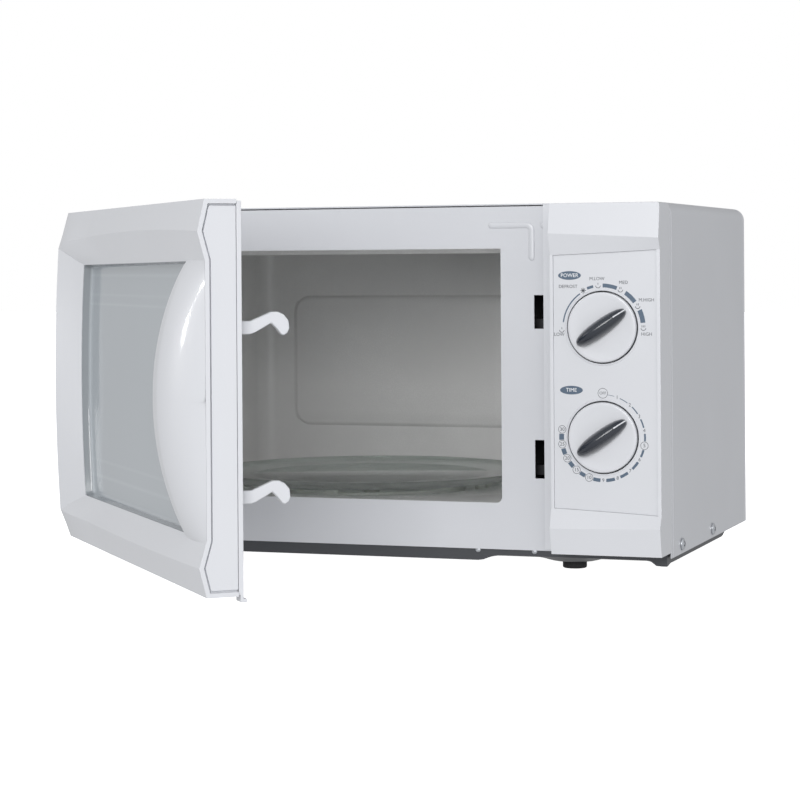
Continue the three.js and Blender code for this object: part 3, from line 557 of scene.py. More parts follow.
def moved(bm, matrix):
    """Transforms a whole bmesh and returns it."""
    bmesh.ops.transform(bm, matrix=matrix, verts=bm.verts)
    return bm


def softened(bm, width, least_angle=0.5, segments=2):
    """Bevels every edge that turns by more than an angle."""
    edges = [e for e in bm.edges if len(e.link_faces) == 2 and e.calc_face_angle(0) > least_angle]
    bevelled(bm, edges, width, segments, clamp=True)
    return bm


def smooth_mesh(bm, name, crease):
    """A mesh from a bmesh, shaded smooth apart from its open and its sharp edges."""
    for face in bm.faces:
        face.smooth = True
    for edge in bm.edges:
        edge.smooth = len(edge.link_faces) == 2 and edge.calc_face_angle(0) < math.radians(crease)
    mesh = bpy.data.meshes.new(name)
    bm.to_mesh(mesh)
    bm.free()
    return mesh


def shown(bm, name, place, slot, body, nodes=(), crease=35.0):
    """Makes a finished piece from a bmesh: merged, facing outwards, in its place and riding on its body."""
    bmesh.ops.remove_doubles(bm, verts=bm.verts, dist=2e-4)
    bmesh.ops.recalc_face_normals(bm, faces=bm.faces)
    mesh = smooth_mesh(bm, name, crease)
    mesh.transform(place)
    return placed(mesh, slot, body, nodes)


def placed(mesh, slot, body, nodes):
    """A piece with its finish, riding on its body and standing in for nodes of the frame."""
    piece = bpy.data.objects.new(mesh.name, mesh)
    bpy.context.scene.collection.objects.link(piece)
    piece.data.materials.append(finish_for(slot))
    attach(piece, body)
    if nodes:
        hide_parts(*nodes)
    return piece


def rounded(piece, width, least_angle=30.0, segments=3):
    """Rounds a finished piece's sharp edges with a live bevel."""
    bevel = piece.modifiers.new("edge round", "BEVEL")
    bevel.width = width
    bevel.segments = segments
    bevel.limit_method = "ANGLE"
    bevel.angle_limit = math.radians(least_angle)
    bevel.harden_normals = True
    return piece


def refined(node, name, slot, body, width, crease=35.0):
    """A copy of a CAD node with its flat faces made whole and its edges rounded."""
    bm = bmesh.new()
    bm.from_mesh(frame["nodes"][node].data)
    bmesh.ops.remove_doubles(bm, verts=bm.verts, dist=1e-6)
    bmesh.ops.dissolve_limit(
        bm, angle_limit=math.radians(1.5), use_dissolve_boundaries=False, verts=bm.verts, edges=bm.edges)
    piece = placed(smooth_mesh(bm, name, crease), slot, body, (node,))
    return rounded(piece, width * MM, crease, 2)


# ------------------------------------------------------------------ the bowed facia
def bow(x):
    """How far the facia's lines have bent away from its middle."""
    return (x / HALF_WIDTH) ** 2


def ridge_top(x):
    return 237 - 6.3 * bow(x)


def ridge_bottom(x):
    return 33 + 2.6 * bow(x)


def field_top(x):
    return FIELD_TOP + 6 * bow(x)


def field_bottom(x):
    return FIELD_BOTTOM - 6.4 * bow(x)


def blend(a, b, share):
    return a + (b - a) * share


def eased(share):
    share = min(1.0, max(0.0, share))
    return share * share * (3 - 2 * share)


# ------------------------------------------------------------------ stage
STUDIO_LIGHTS = (  # name, place in metres, width in metres, power in watts
    ("high key", (1.1, -2.3, 1.5), 1.1, 10.5),
    ("low key", (0.3, -2.6, 0.8), 1.1, 26.5),
    ("left", (-2.2, -1.2, 0.9), 1.4, 6),
    ("right", (2.6, 0.2, 0.9), 1.4, 2.5),
    ("glint", (-2.6, -0.1, 0.25), 0.1, 1.6))
LIGHTS_AIM = Vector((0, 0, 0.12))
STUDIO_GLOW = (  # axis, side and strength of the light that comes from there
    ("X", 1.0, 0.6), ("X", -1.0, 0.45), ("Y", 1.0, 0.25), ("Y", -1.0, 0.5), ("Z", 1.0, 0.27), ("Z", -1.0, 0.3))


class OVEN_OT_stage(bpy.types.Operator):
    """Builds the camera, the lights and the pale floor"""
    bl_idname = "oven.stage"
    bl_label = "Camera, lights and floor"

    def execute(self, context):
        scene = context.scene
        camera = bpy.data.cameras.new("camera")
        camera.lens = 107.333
        camera.sensor_width = 36.0
        camera.shift_y = -0.16341
        camera.clip_start = 0.05
        camera.clip_end = 50.0
        viewer = bpy.data.objects.new("camera", camera)
        scene.collection.objects.link(viewer)
        forward = Vector((-0.33471057, 0.94232048, -0.00097249))
        right = Vector((0.9423012, 0.33469667, -0.00682602))
        up = Vector((0.00610681, 0.00320112, 0.99997623))
        turn = Matrix((right, up, -forward)).transposed().to_4x4()
        viewer.matrix_world = Matrix.Translation((0.5962612, -1.5689111, 0.2123173)) @ turn
        scene.camera = viewer
        scene.view_settings.view_transform = "Standard"

        for name, spot, size, power in STUDIO_LIGHTS:
            light = bpy.data.lights.new(name, "AREA")
            light.size = size
            light.energy = power
            lamp = bpy.data.objects.new(name, light)
            scene.collection.objects.link(lamp)
            lamp.location = spot
            lamp.rotation_euler = (LIGHTS_AIM - Vector(spot)).to_track_quat("-Z", "Y").to_euler()
        scene.world = self.surroundings()

        floor = bmesh.new()
        bmesh.ops.create_grid(floor, x_segments=8, y_segments=8, size=9.0)
        mesh = bpy.data.meshes.new("studio_floor")
        floor.to_mesh(mesh)
        floor.free()
        ground = bpy.data.objects.new("studio_floor", mesh)
        scene.collection.objects.link(ground)
        ground.data.materials.append(finish_for("floor"))
        ground.visible_diffuse = False
        ground.visible_glossy = False
        return {"FINISHED"}

    @staticmethod
    def surroundings():
        """A white studio that is lighter or darker in each direction, and plain white to the eye."""
        world = bpy.data.worlds.new("studio")
        world.use_nodes = True
        nodes = Nodes(world.node_tree)
        direction = nodes.node("ShaderNodeTexCoord", {}, {}, "Generated")
        glow = 0.0
        for axis, sign, strength in STUDIO_GLOW:
            part = nodes.node("ShaderNodeSeparateXYZ", {}, {"Vector": direction}, axis)
            glow = glow + part.maths("MAXIMUM", part * sign, 0.0) * strength
        shine, white = (
            nodes.node("ShaderNodeBackground", {}, {"Color": hue, "Strength": strength}, "Background")
            for hue, strength in (((0.975, 0.985, 1.0, 1), glow), ((1, 1, 1, 1), 1.0)))
        seen = nodes.node("ShaderNodeLightPath", {}, {}, "Is Camera Ray")
        both = nodes.node("ShaderNodeMixShader", {}, {"Fac": seen, 1: shine, 2: white}, "Shader")
        nodes.node("ShaderNodeOutputWorld", {}, {"Surface": both}, None)
        return world


# ------------------------------------------------------------------ cabinet
def wrapper_shell(wall):
    """A steel wrapper open at the front, back and bottom, with a hem line behind its front edge."""
    front, bottom, shoulder = 29.4, 12.3, 9
    hem_starts, hem_steps, hem_depth = (33.0, 279.0), (0, 0.5, 1.2, 1.7), 0.4
    size = (2 * HALF_WIDTH, WRAP_BACK - front, WRAP_TOP - bottom)
    bm = block(size, (0, (WRAP_BACK + front) / 2, (WRAP_TOP + bottom) / 2))
    drop_faces(bm, lambda face: abs(face.normal.y) > 0.5 or face.normal.z < -0.5)
    bevelled(bm, [e for e in bm.edges if len(e.link_faces) == 2], shoulder, 10)
    for start in hem_starts:
        for step in hem_steps:
            sliced(bm, (0, start + step, 0), (0, 1, 0))
    sunk = [start + step for start in hem_starts for step in hem_steps[1:3]]
    for v in bm.verts:
        if any(abs(v.co.y - level) < 0.01 for level in sunk):
            if abs(v.co.x) > HALF_WIDTH - shoulder - 0.5:
                v.co.x -= math.copysign(hem_depth, v.co.x)
            if v.co.z > WRAP_TOP - shoulder - 0.5:
                v.co.z -= hem_depth
    bmesh.ops.recalc_face_normals(bm, faces=bm.faces)
    return thickened(bm, wall)


def screw_head(centre, hand):
    """A pan-head screw with a cross recess, facing out of the cabinet's side."""
    cells, radius, dome, cross_depth = 9, 4.25, 2.1, 1.3
    bm = bmesh.new()
    bmesh.ops.create_grid(bm, x_segments=cells, y_segments=cells, size=radius)
    step = 2 * radius / cells
    arm = 2.6 * step  # how far the cross reaches from the middle
    arms = [f for f in bm.faces if min(abs(f.calc_center_median().x), abs(f.calc_center_median().y)) < step / 2
            and f.calc_center_median().length < arm]
    for v in bm.verts:
        reach = max(abs(v.co.x), abs(v.co.y))
        if reach > arm:
            v.co *= blend(1.0, reach / v.co.length, (reach - arm) / (radius - arm))
        v.co.z = dome * math.sqrt(max(0.0, 1 - (v.co.length / (radius * 1.06)) ** 2))
    pit = bmesh.ops.extrude_face_region(bm, geom=arms)["geom"]
    bmesh.ops.delete(bm, geom=arms, context="FACES_ONLY")
    bmesh.ops.translate(bm, vec=(0, 0, -cross_depth), verts=[g for g in pit if isinstance(g, bmesh.types.BMVert)])
    drawn(bm, rim_edges(bm, lambda co: co.length > radius * 0.8), lambda co: Vector((co.x, co.y, 0)))
    bmesh.ops.contextual_create(bm, geom=rim_edges(bm, lambda co: co.z < 0.01))
    turn = Matrix.Rotation(hand * math.pi / 2, 4, "Y") @ Matrix.Rotation(0.5, 4, "Z")
    return moved(bm, Matrix.Translation(centre) @ turn)


def pan_height(x, y):
    """The pressed base pan's underside: a dish below the turntable, a boss at each foot and a raised front."""
    plain, dish_depth, dish_radius, boss_level, boss_radius = 9.0, 3.0, 116, 5.3, 13
    level = plain - dish_depth * (1 - eased((math.hypot(x - TABLE_X, y - TABLE_Y) - dish_radius) / 12))
    for foot_x, foot_y in FEET.values():
        level = blend(level, boss_level, 1 - eased((math.hypot(x - foot_x, y - foot_y) - boss_radius) / 17))
    front = 7.1 + 3.9 * eased((x - 83) / 14) - 3.9 * eased((x - 204) / 7)
    side = 8.4 + 3.3 * eased((y - 205) / 16)
    level = blend(front, level, eased((y - 27) / 14))
    return blend(level, side, eased((abs(x) - 206) / 9) * eased((y - 30) / 14))


def base_pan(wall):
    """The pressed pan with its upright rim and a row of vents."""
    half, front, back, rim_top = 217.4, 26.7, 281.0, 19.0
    columns, rows = 116, 66

    def place(i, j):
        x, y = blend(-half, half, i / columns), blend(front, back, j / rows)
        return Vector((x, y, pan_height(x, y)))

    bm = sheet_of(columns, rows, place)
    drawn(bm, rim_edges(bm, lambda co: True), lambda co: Vector((co.x, co.y, rim_top)))
    for vent_front in range(100, 150, 10):
        cut_away(bm, ((150, 200), (vent_front, vent_front + 4), (0, 15)))
    facing(bm, (0, 0, -1))
    return thickened(bm, wall)


class OVEN_OT_cabinet(bpy.types.Operator):
    """Builds the wrapper, base pan, rear panel, feet and screws"""
    bl_idname = "oven.cabinet"
    bl_label = "Cabinet"

    def execute(self, context):
        wall = context.scene.oven_sizes.sheet / MM
        shell = shown(wrapper_shell(wall), "cabinet_wrapper", CABINET, "white_enamel", "root", ["outer_wrapper"])
        rounded(shell, 0.3 * MM, 40, 2)
        pan = shown(base_pan(wall), "cabinet_base_pan", CABINET, "dark_pan", "root", ["base_pan"], crease=50)
        rounded(pan, 0.7 * MM, 50, 3)
        for index, x in enumerate((82.5, 123.5)):
            stud = turned([(0, -0.6), (1.1, -0.5), (1.8, -0.2), (2.0, 0.3), (0, 0.3)], 24, "Y", (x, 26.4, 14.5))
            shown(stud, f"pan_rivet_{index + 1}", CABINET, "screw_steel", "root", crease=60)
        refined("rear_panel", "cabinet_rear_panel", "zinc_steel", "root", 0.25)
        refined("cord_gland", "rear_gland", "black_plastic", "root", 0.3)
        for side, hand in (("right", 1), ("left", -1)):
            for index, y in enumerate((60, 160)):
                centre = (hand * (HALF_WIDTH + 0.3), y, 19)
                shown(screw_head(centre, hand), f"screw_{side}_{index + 1}", CABINET, "screw_steel", "root",
                      [f"wrapper_screw_{side}_{index + 1}"])
        for name, (x, y) in FEET.items():
            pad = turned([(0, 1.2), (4.4, 1.2), (4.9, 0.5), (5.4, 0), (7.6, 0), (8.2, 0.3), (8.5, 0.9), (8.5, 4.4),
                          (8.2, 4.9), (7.6, 5), (3, 5), (3, 12), (0, 12)], 40, "Z", (x, y, 0))
            shown(pad, f"foot_pad_{name}", CABINET, "foot_rubber", "root", [f"foot_{name}"])
        return {"FINISHED"}


# ------------------------------------------------------------------ oven chamber
def rib_of(start, corner, end):
    """A half-round embossed rib that runs across, may turn down at a corner and ends in round tips."""
    radius, rise, bend_radius = 2.2, 0.8, 4.0
    bm = bmesh.new()
    arc = [bm.verts.new((start[0], FRAME_FRONT - rise * math.sin(a), start[1] + radius * math.cos(a)))
           for a in [math.pi * i / 8 for i in range(9)]]
    profile = arc + [bm.edges.new(pair) for pair in zip(arc, arc[1:])]

    def swept(geom, steps, **motion):
        """Sweeps a profile and returns it where it ends."""
        last = bmesh.ops.spin(bm, geom=geom, axis=(0, 1, 0), steps=steps, **motion)["geom_last"]
        return [g for g in last if isinstance(g, (bmesh.types.BMVert, bmesh.types.BMEdge))]

    def about(x, z):
        return (x, FRAME_FRONT, z)

    swept(profile, 8, cent=about(*start), angle=math.pi)
    if corner:
        bend_x, bend_z = corner[0] - bend_radius, corner[1] - bend_radius
        profile = swept(profile, 1, dvec=(bend_x - start[0], 0, 0))
        profile = swept(profile, 6, cent=about(bend_x, bend_z), angle=math.pi / 2)
        profile = swept(profile, 1, dvec=(0, 0, end[1] - bend_z))
    else:
        profile = swept(profile, 1, dvec=(end[0] - start[0], 0, 0))
    swept(profile, 8, cent=about(*end), angle=math.pi)
    return bm


def front_plate(wall):
    """The steel frame round the chamber's mouth, with its latch slots and folded edges."""
    left, right, bottom, top = -218.7, 143.1, 15.3, 253.8
    mouth_right = CAVITY_RIGHT - 0.2
    mouth = ((CAVITY_LEFT, mouth_right), ANY, (CAVITY_FLOOR, CAVITY_CEILING))
    slots = [((124.9, 132.4), ANY, span) for span in ((65.2, 91.9), (168.9, 192.2))]
    bm = sheet_of(1, 1, lambda i, j: Vector((blend(left, right, i), FRAME_FRONT, blend(bottom, top, j))))
    for region in [mouth, *slots]:
        cut_away(bm, region)
    bmesh.ops.remove_doubles(bm, verts=bm.verts, dist=1e-3)
    corners = [v for v in bm.verts if abs(v.co.z - CAVITY_FLOOR) < 0.1
               and min(abs(v.co.x - CAVITY_LEFT), abs(v.co.x - mouth_right)) < 0.1]
    shoulder = [v for v in bm.verts if v.co.z > top - 0.1 and v.co.x < left + 0.1]
    bmesh.ops.dissolve_limit(
        bm, angle_limit=0.01, verts=bm.verts, edges=[e for e in bm.edges if not e.is_boundary])
    for group, width, segments in ((corners, 4.2, 5), (shoulder, 7.5, 6)):
        bevelled(bm, [v for v in group if v.is_valid], width, segments, "VERTICES")
    folds = [e for e in rim_edges(bm, lambda co: co.x < left + 8 or co.z > top - 0.1 or co.z < bottom + 0.1)
             if min(abs(v.co.x - CAVITY_LEFT) for v in e.verts) > 5
             or all(v.co.z > top - 0.1 or v.co.z < bottom + 0.1 for v in e.verts)]
    drawn(bm, folds, lambda co: co + Vector((0, 7, 0)))
    lips = rim_edges(bm, lambda co: co.y < FRAME_FRONT + 1 and CAVITY_LEFT - 1 < co.x < CAVITY_RIGHT + 1
                     and CAVITY_FLOOR - 1 < co.z < CAVITY_CEILING + 1)
    drawn(bm, lips, lambda co: co + Vector((0, 0.9, 0)))
    facing(bm, (0, -1, 0))
    return thickened(bm, wall * 0.9)


def chamber_floor():
    """A level floor with the turntable's round well, trimmed to the chamber's walls."""
    floor = turned([(9, 37.6), (92, 37.6), (94.5, 38.2), (96.3, 40), (97, 42.5), (97, 45), (98, 46.8), (100, 47.6),
                    (400, 47.6)], 96, "Z", (TABLE_X, TABLE_Y, 0))
    trimmed(floor, 0, CAVITY_LEFT, CAVITY_RIGHT)
    trimmed(floor, 1, CAVITY_FRONT, CAVITY_BACK)
    facing(floor, (0, 0, 1))
    return floor


def chamber_walls(wall):
    """Walls, ceiling and embossed back of the chamber, its floor, and a low wedge below the front of the ceiling."""
    size = (CAVITY_RIGHT - CAVITY_LEFT, CAVITY_BACK - CAVITY_FRONT, CAVITY_CEILING - CAVITY_FLOOR)
    middle = ((CAVITY_RIGHT + CAVITY_LEFT) / 2, (CAVITY_BACK + CAVITY_FRONT) / 2, (CAVITY_CEILING + CAVITY_FLOOR) / 2)
    bm = block(size, middle)
    drop_faces(bm, lambda face: face.normal.y < -0.5 or face.normal.z < -0.5)
    uprights = [e for e in bm.edges if all(v.co.y > CAVITY_BACK - 1 for v in e.verts)
                and abs(e.verts[0].co.x - e.verts[1].co.x) < 1]
    bevelled(bm, uprights, 14, 8)
    back = max((f for f in bm.faces if f.normal.y > 0.9), key=lambda f: f.calc_area())
    bmesh.ops.inset_region(bm, faces=[back], thickness=12, use_boundary=True)
    low, high = (-158.0, 80.0), (75.0, 191.0)  # the embossed panel's corners
    for v in back.verts:
        v.co.x = low[0] if v.co.x < middle[0] else high[0]
        v.co.z = low[1] if v.co.z < middle[2] else high[1]
    bevelled(bm, list(back.verts), 15, 7, "VERTICES")
    panel = max((f for f in bm.faces if f.normal.y > 0.9 and len(f.verts) > 12), key=lambda f: f.calc_area())
    for thickness, depth in ((2.0, 0.0), (1.4, 1.7), (1.8, 0.6)):
        bmesh.ops.inset_region(bm, faces=[panel], thickness=thickness)
        bmesh.ops.translate(bm, vec=(0, -depth, 0), verts=panel.verts)
    cut_away(bm, ((CAVITY_RIGHT - 1, CAVITY_RIGHT + 1), (140, 180), (152, 192)))  # the waveguide's mouth
    for f in bm.faces:
        if f.normal.dot(Vector(middle) - f.calc_center_median()) < 0:
            f.normal_flip()
    brow_middle = CAVITY_FRONT + 7
    brow = block((size[0] - 0.4, 12, 3.2), (middle[0], brow_middle, CAVITY_CEILING - 1.6))
    for v in brow.verts:
        if v.co.y < brow_middle:
            v.co.z = max(v.co.z, CAVITY_CEILING - 0.3)
    return joined(thickened(bm, wall * 0.8), thickened(chamber_floor(), wall * 0.8), brow)


class OVEN_OT_chamber(bpy.types.Operator):
    """Builds the front frame, the chamber and the turntable"""
    bl_idname = "oven.chamber"
    bl_label = "Chamber and turntable"

    def execute(self, context):
        wall = context.scene.oven_sizes.sheet / MM
        plate = shown(front_plate(wall), "chamber_front_frame", CABINET, "white_enamel", "root",
                      ["front_frame", "latch_plate"])
        rounded(plate, 0.35 * MM, 40, 2)
        ribs = joined(rib_of((94.2, 240.8), (123.4, 240.8), (123.4, 218.2)),
                      rib_of((131.6, 240.4), None, (136.6, 240.4)))
        shown(ribs, "front_frame_ribs", CABINET, "white_enamel", "root")
        liner = chamber_walls(wall)
        shown(liner, "chamber_liner", CABINET, "cavity_enamel", "root", ["cavity_liner"])
        tray = turned([(0, 50.8), (88, 50.8), (90, 50.6), (94, 50.8), (112, 51.9), (117, 53.4), (120.3, 55.5),
                       (121.7, 57.3), (121.9, 58.1), (121.4, 58.5), (120.4, 58.5), (118.8, 57.6), (115, 56.2),
                       (110, 55.6), (92, 55.0), (89, 54.9), (88, 55.2), (0, 55.2)], 128, "Z", (TABLE_X, TABLE_Y, 0))
        shown(tray, "glass_turntable", CABINET, "clear_glass", "turntable", ["glass_tray"])
        refined("drive_coupler", "turntable_coupler", "natural_plastic", "turntable", 0.4)
        refined("roller_ring", "turntable_ring", "natural_plastic", "roller_carrier", 0.25)
        for index, body in enumerate(("roller_a", "roller_b", "roller_c")):
            wheel = turned([(1.8, -3), (5.6, -3), (6.1, -2.6), (6.3, -2), (6.3, 2), (6.1, 2.6), (5.6, 3), (1.8, 3),
                            (1.8, -3)], 36, "X", (85, 0, 44.2))
            spin = Matrix.Translation((TABLE_X, TABLE_Y, 0)) @ Matrix.Rotation(math.radians(120 * index + 30), 4, "Z")
            shown(moved(wheel, spin), f"turntable_wheel_{index + 1}", CABINET, "natural_plastic", body,
                  [f"roller_{index + 1}"])
        return {"FINISHED"}


# ------------------------------------------------------------------ control panel
def panel_shell(wall, ridge):
    """The bowed control panel: two ridges, a recessed field for the dial plate and side walls."""
    right, bottom, top, depth = HALF_WIDTH, 16.4, 254.7, 28.6
    field_left, field_right, field_columns = PANEL_LEFT + 2.2, HALF_WIDTH - 2.4, 21
    inner_xs = [blend(field_left, field_right, i / field_columns) for i in range(1, field_columns)]
    xs = [PANEL_LEFT, field_left, *inner_xs, field_right, (field_right + right) / 2, right]
    rows = [
        lambda x: (0, bottom), lambda x: (-ridge, ridge_bottom(x)), lambda x: (0, field_bottom(x)),
        lambda x: (0, blend(field_bottom(x), field_top(x), 0.33)),
        lambda x: (0, blend(field_bottom(x), field_top(x), 0.67)),
        lambda x: (0, field_top(x)), lambda x: (-ridge, ridge_top(x)), lambda x: (0, top)]

    def place(i, j):
        return Vector((xs[i], *rows[j](xs[i])))

    def in_field(face):
        x, _, z = face.calc_center_median()
        return field_left < x < field_right and field_bottom(x) < z < field_top(x)

    bm = sheet_of(len(xs) - 1, len(rows) - 1, place)
    drop_faces(bm, in_field)
    inner = rim_edges(bm, lambda co: field_left - 0.1 < co.x < field_right + 0.1 and 40 < co.z < 225)
    drawn(bm, inner, lambda co: co + Vector((0, 2.2, 0)))
    outer = rim_edges(bm, lambda co: co.y < 1.5 and (
        co.x < PANEL_LEFT + 0.1 or co.x > right - 0.1 or co.z < bottom + 0.1 or co.z > top - 0.1))
    drawn(bm, outer, lambda co: Vector((co.x, depth, co.z)))
    facing(bm, (0, -1, 0))
    round_corner = [e for e in bm.edges if all(v.co.x > right - 0.1 and v.co.z > top - 0.1 for v in e.verts)]
    bevelled(bm, round_corner, 4, 5)
    return thickened(bm, wall)


def plate_with_wells(thickness):
    """The dial plate: a bowed sheet with a round well for each knob."""
    left, right = PANEL_LEFT + 2.3, HALF_WIDTH - 2.5
    split = (POWER_Z + TIMER_Z) / 2
    flat, gap = WELL_RADIUS + 1.4, 0.12  # where the bend may start, and the play at the field's edge
    discs = []
    for z, low, high in ((POWER_Z, split, FIELD_TOP), (TIMER_Z, FIELD_BOTTOM, split)):
        disc = turned([(WELL_RADIUS, 4.5), (WELL_RADIUS, 0.0), (WELL_RADIUS + 0.35, -0.35), (WELL_RADIUS + 0.9, -0.35),
                       (WELL_RADIUS + 1.3, 0), (31, 0), (37, 0), (48, 0), (60, 0), (120, 0)], 120, "Y",
                      (DIAL_X, PLATE_FRONT, z))
        trimmed(disc, 0, left, right)
        trimmed(disc, 2, low, high)
        discs.append(disc)
    bm = joined(*discs)
    bmesh.ops.remove_doubles(bm, verts=bm.verts, dist=0.01)
    for v in bm.verts:
        x, z = v.co.x, v.co.z
        if z > POWER_Z + flat:
            v.co.z += (z - POWER_Z - flat) / (FIELD_TOP - POWER_Z - flat) * (field_top(x) - FIELD_TOP - gap)
        if z < TIMER_Z - flat:
            v.co.z += (TIMER_Z - flat - z) / (TIMER_Z - flat - FIELD_BOTTOM) * (field_bottom(x) - FIELD_BOTTOM + gap)
    facing(bm, (0, -1, 0), lambda face: face.calc_center_median().y < PLATE_FRONT + 0.2)
    return thickened(bm, thickness)


class OVEN_OT_panel(bpy.types.Operator):
    """Builds the control panel and its dial plate"""
    bl_idname = "oven.control_panel"
    bl_label = "Control panel"

    def execute(self, context):
        sizes = context.scene.oven_sizes
        shell = panel_shell(sizes.plastic_wall / MM, sizes.ridge_rise / MM)
        lip = block((11.6, 0.8, 238.4), (137.8, 24.2, 135.5))
        rounded(shown(joined(shell, lip), "control_panel_moulding", CABINET, "white_plastic", "root",
                      ["control_panel", "panel_edge"], crease=9), sizes.edge_round, 9, 3)
        shown(plate_with_wells(0.9), "dial_face", CABINET, "dial_overlay", "root", ["dial_plate"])
        return {"FINISHED"}


# ------------------------------------------------------------------ dials
def knob_disc(z):
    """The white disc with its raised edge, and the sleeve behind it."""
    return turned([(0, -1.05), (8, -1.0), (16, -1.1), (20.5, -1.35), (22.6, -1.6), (23.2, -1.5), (23.6, -1.1),
                   (KNOB_RADIUS, -0.4), (KNOB_RADIUS, 1.9), (6.5, 1.9), (6.5, 14), (3.3, 14), (3.3, 3), (0, 3)],
                  96, "Y", (DIAL_X, 0, z))


def on_knob(bm, z):
    """Turns a shape drawn along X to where its dial points, on the disc's face."""
    return moved(bm, Matrix.Translation((DIAL_X, -1.9, z)) @ Matrix.Rotation(-POINTER_ANGLE, 4, "Y"))


def grip_body(z):
    """A smooth long drop, widest near its blunt end, that rises out of the knob's face."""
    bm = bmesh.new()
    bmesh.ops.create_uvsphere(bm, u_segments=48, v_segments=32, radius=1)
    half_length, half_width, tall, fall, sunk = 20.3, 5.6, 11.6, 3.4, 1.2
    fullness = 2.6  # 2 is an ellipse, and more is a blunter outline
    for v in bm.verts:
        along, across, up = v.co.z, v.co.x, v.co.y
        width = half_width * (1 - 0.12 * (along + 0.2) ** 2)
        height = tall - fall * eased((along + 1) / 2)
        thin = math.sqrt(max(0.0, 1 - along * along))
        full = (1 - abs(along) ** fullness) ** (1 / fullness) if abs(along) < 1 else 0.0
        if thin > 0.01:
            across, up = across * full / thin, up * blend(1.0, full / thin, 0.6)
        v.co = (along * half_length, -height * up if up > 0 else sunk, across * width)
    bmesh.ops.remove_doubles(bm, verts=bm.verts, dist=0.02)
    return on_knob(bm, z)


def pointer_line(z):
    """The white line along the grip's tip, lower at its outer end."""
    middle_x, middle_y = 16.4, -3.2
    bm = block((8.2, 6.6, 0.85), (middle_x, middle_y, 0))
    for v in bm.verts:
        if v.co.y < middle_y:
            v.co.y = -8.75 if v.co.x < middle_x else -3.9
    return on_knob(softened(bm, 0.15), z)


class OVEN_OT_dials(bpy.types.Operator):
    """Builds both knobs with their grips and shafts"""
    bl_idname = "oven.dials"
    bl_label = "Dials"

    def execute(self, context):
        for dial, z in (("power", POWER_Z), ("timer", TIMER_Z)):
            body = f"{dial}_dial"
            shown(knob_disc(z), f"{dial}_knob_disc", CABINET, "white_plastic", body, [f"{dial}_knob"], crease=60)
            shown(grip_body(z), f"{dial}_knob_grip", CABINET, "dial_grey", body, [f"{dial}_grip"], crease=60)
            shown(pointer_line(z), f"{dial}_pointer_line", CABINET, "white_plastic", body)
            refined(f"{dial}_shaft", f"{dial}_spindle", "zinc_steel", body, 0.2)
        return {"FINISHED"}


# ------------------------------------------------------------------ printed marks
def band(dial_z, inner, outer, start, end, rise):
    """A printed arc between two radii, from a start to an end angle in degrees, anticlockwise from the right."""
    bm = bmesh.new()
    corners = [bm.verts.new((radius, 0, 0)) for radius in (inner, outer)]
    edge = bm.edges.new(corners)
    steps = max(3, round(abs(end - start) / 2.5))
    bmesh.ops.spin(bm, geom=corners + [edge], axis=(0, 1, 0), angle=-math.radians(end - start), steps=steps)
    turn = Matrix.Rotation(-math.radians(start), 4, "Y")
    return raised_print(moved(bm, Matrix.Translation((DIAL_X, PLATE_FRONT, dial_z)) @ turn), rise)


def raised_print(bm, rise):
    """Gives a flat printed shape a thickness towards the front."""
    top = bmesh.ops.extrude_face_region(bm, geom=bm.faces[:])["geom"]
    bmesh.ops.translate(bm, vec=(0, -rise, 0), verts=[g for g in top if isinstance(g, bmesh.types.BMVert)])
    bmesh.ops.recalc_face_normals(bm, faces=bm.faces)
    return bm


def ring(centre, radius, line, rise):
    """A printed circle, with its line inside the radius."""
    bm = turned([(radius - line, 0), (radius, 0)], 32, "Y", (centre[0], PLATE_FRONT, centre[1]))
    return raised_print(bm, rise)


def oval(centre, half_width, half_height, rise):
    bm = bmesh.new()
    bmesh.ops.create_circle(bm, cap_ends=True, cap_tris=False, segments=48, radius=1)
    shape = Matrix.Translation((centre[0], PLATE_FRONT, centre[1])) @ Matrix.Diagonal((half_width, 1, half_height, 1))
    return raised_print(moved(bm, shape @ Matrix.Rotation(math.pi / 2, 4, "X")), rise)


def stroke(start, end, width, rise):
    """A straight printed line."""
    bm = bmesh.new()
    bmesh.ops.create_grid(bm, x_segments=1, y_segments=1, size=0.5)
    along = Vector((end[0] - start[0], end[1] - start[1]))
    angle = math.atan2(along.y, along.x)
    middle = ((start[0] + end[0]) / 2, PLATE_FRONT, (start[1] + end[1]) / 2)
    shape = (Matrix.Translation(middle) @ Matrix.Rotation(-angle, 4, "Y")
             @ Matrix.Diagonal((along.length, 1, width, 1)) @ Matrix.Rotation(math.pi / 2, 4, "X"))
    return raised_print(moved(bm, shape), rise)


def lettering(text, centre, height, rise, base_y=PLATE_FRONT):
    """Text made into a mesh that stands on the plate, centred on a point."""
    curve = bpy.data.curves.new("lettering", "FONT")
    curve.body = text
    curve.size = 1.0
    curve.align_x = "CENTER"
    curve.align_y = "CENTER"
    curve.resolution_u = 3
    curve.extrude = 0.5
    holder = bpy.data.objects.new("lettering", curve)
    bpy.context.scene.collection.objects.link(holder)
    bpy.context.view_layer.update()
    mesh = bpy.data.meshes.new_from_object(holder.evaluated_get(bpy.context.evaluated_depsgraph_get()))
    bpy.data.objects.remove(holder)
    bpy.data.curves.remove(curve)
    bm = bmesh.new()
    bm.from_mesh(mesh)
    bpy.data.meshes.remove(mesh)
    size = height / 0.7  # a capital is 0.7 of the font's size tall
    shape = (Matrix.Translation((centre[0], base_y - rise / 2, centre[1]))
             @ Matrix.Diagonal((size, rise, size, 1)) @ Matrix.Rotation(math.pi / 2, 4, "X"))
    return moved(bm, shape)


def around(dial_z, radius, degrees):
    """A point of the plate at a distance and an angle from a dial's middle."""
    angle = math.radians(degrees)
    return DIAL_X + radius * math.cos(angle), dial_z + radius * math.sin(angle)


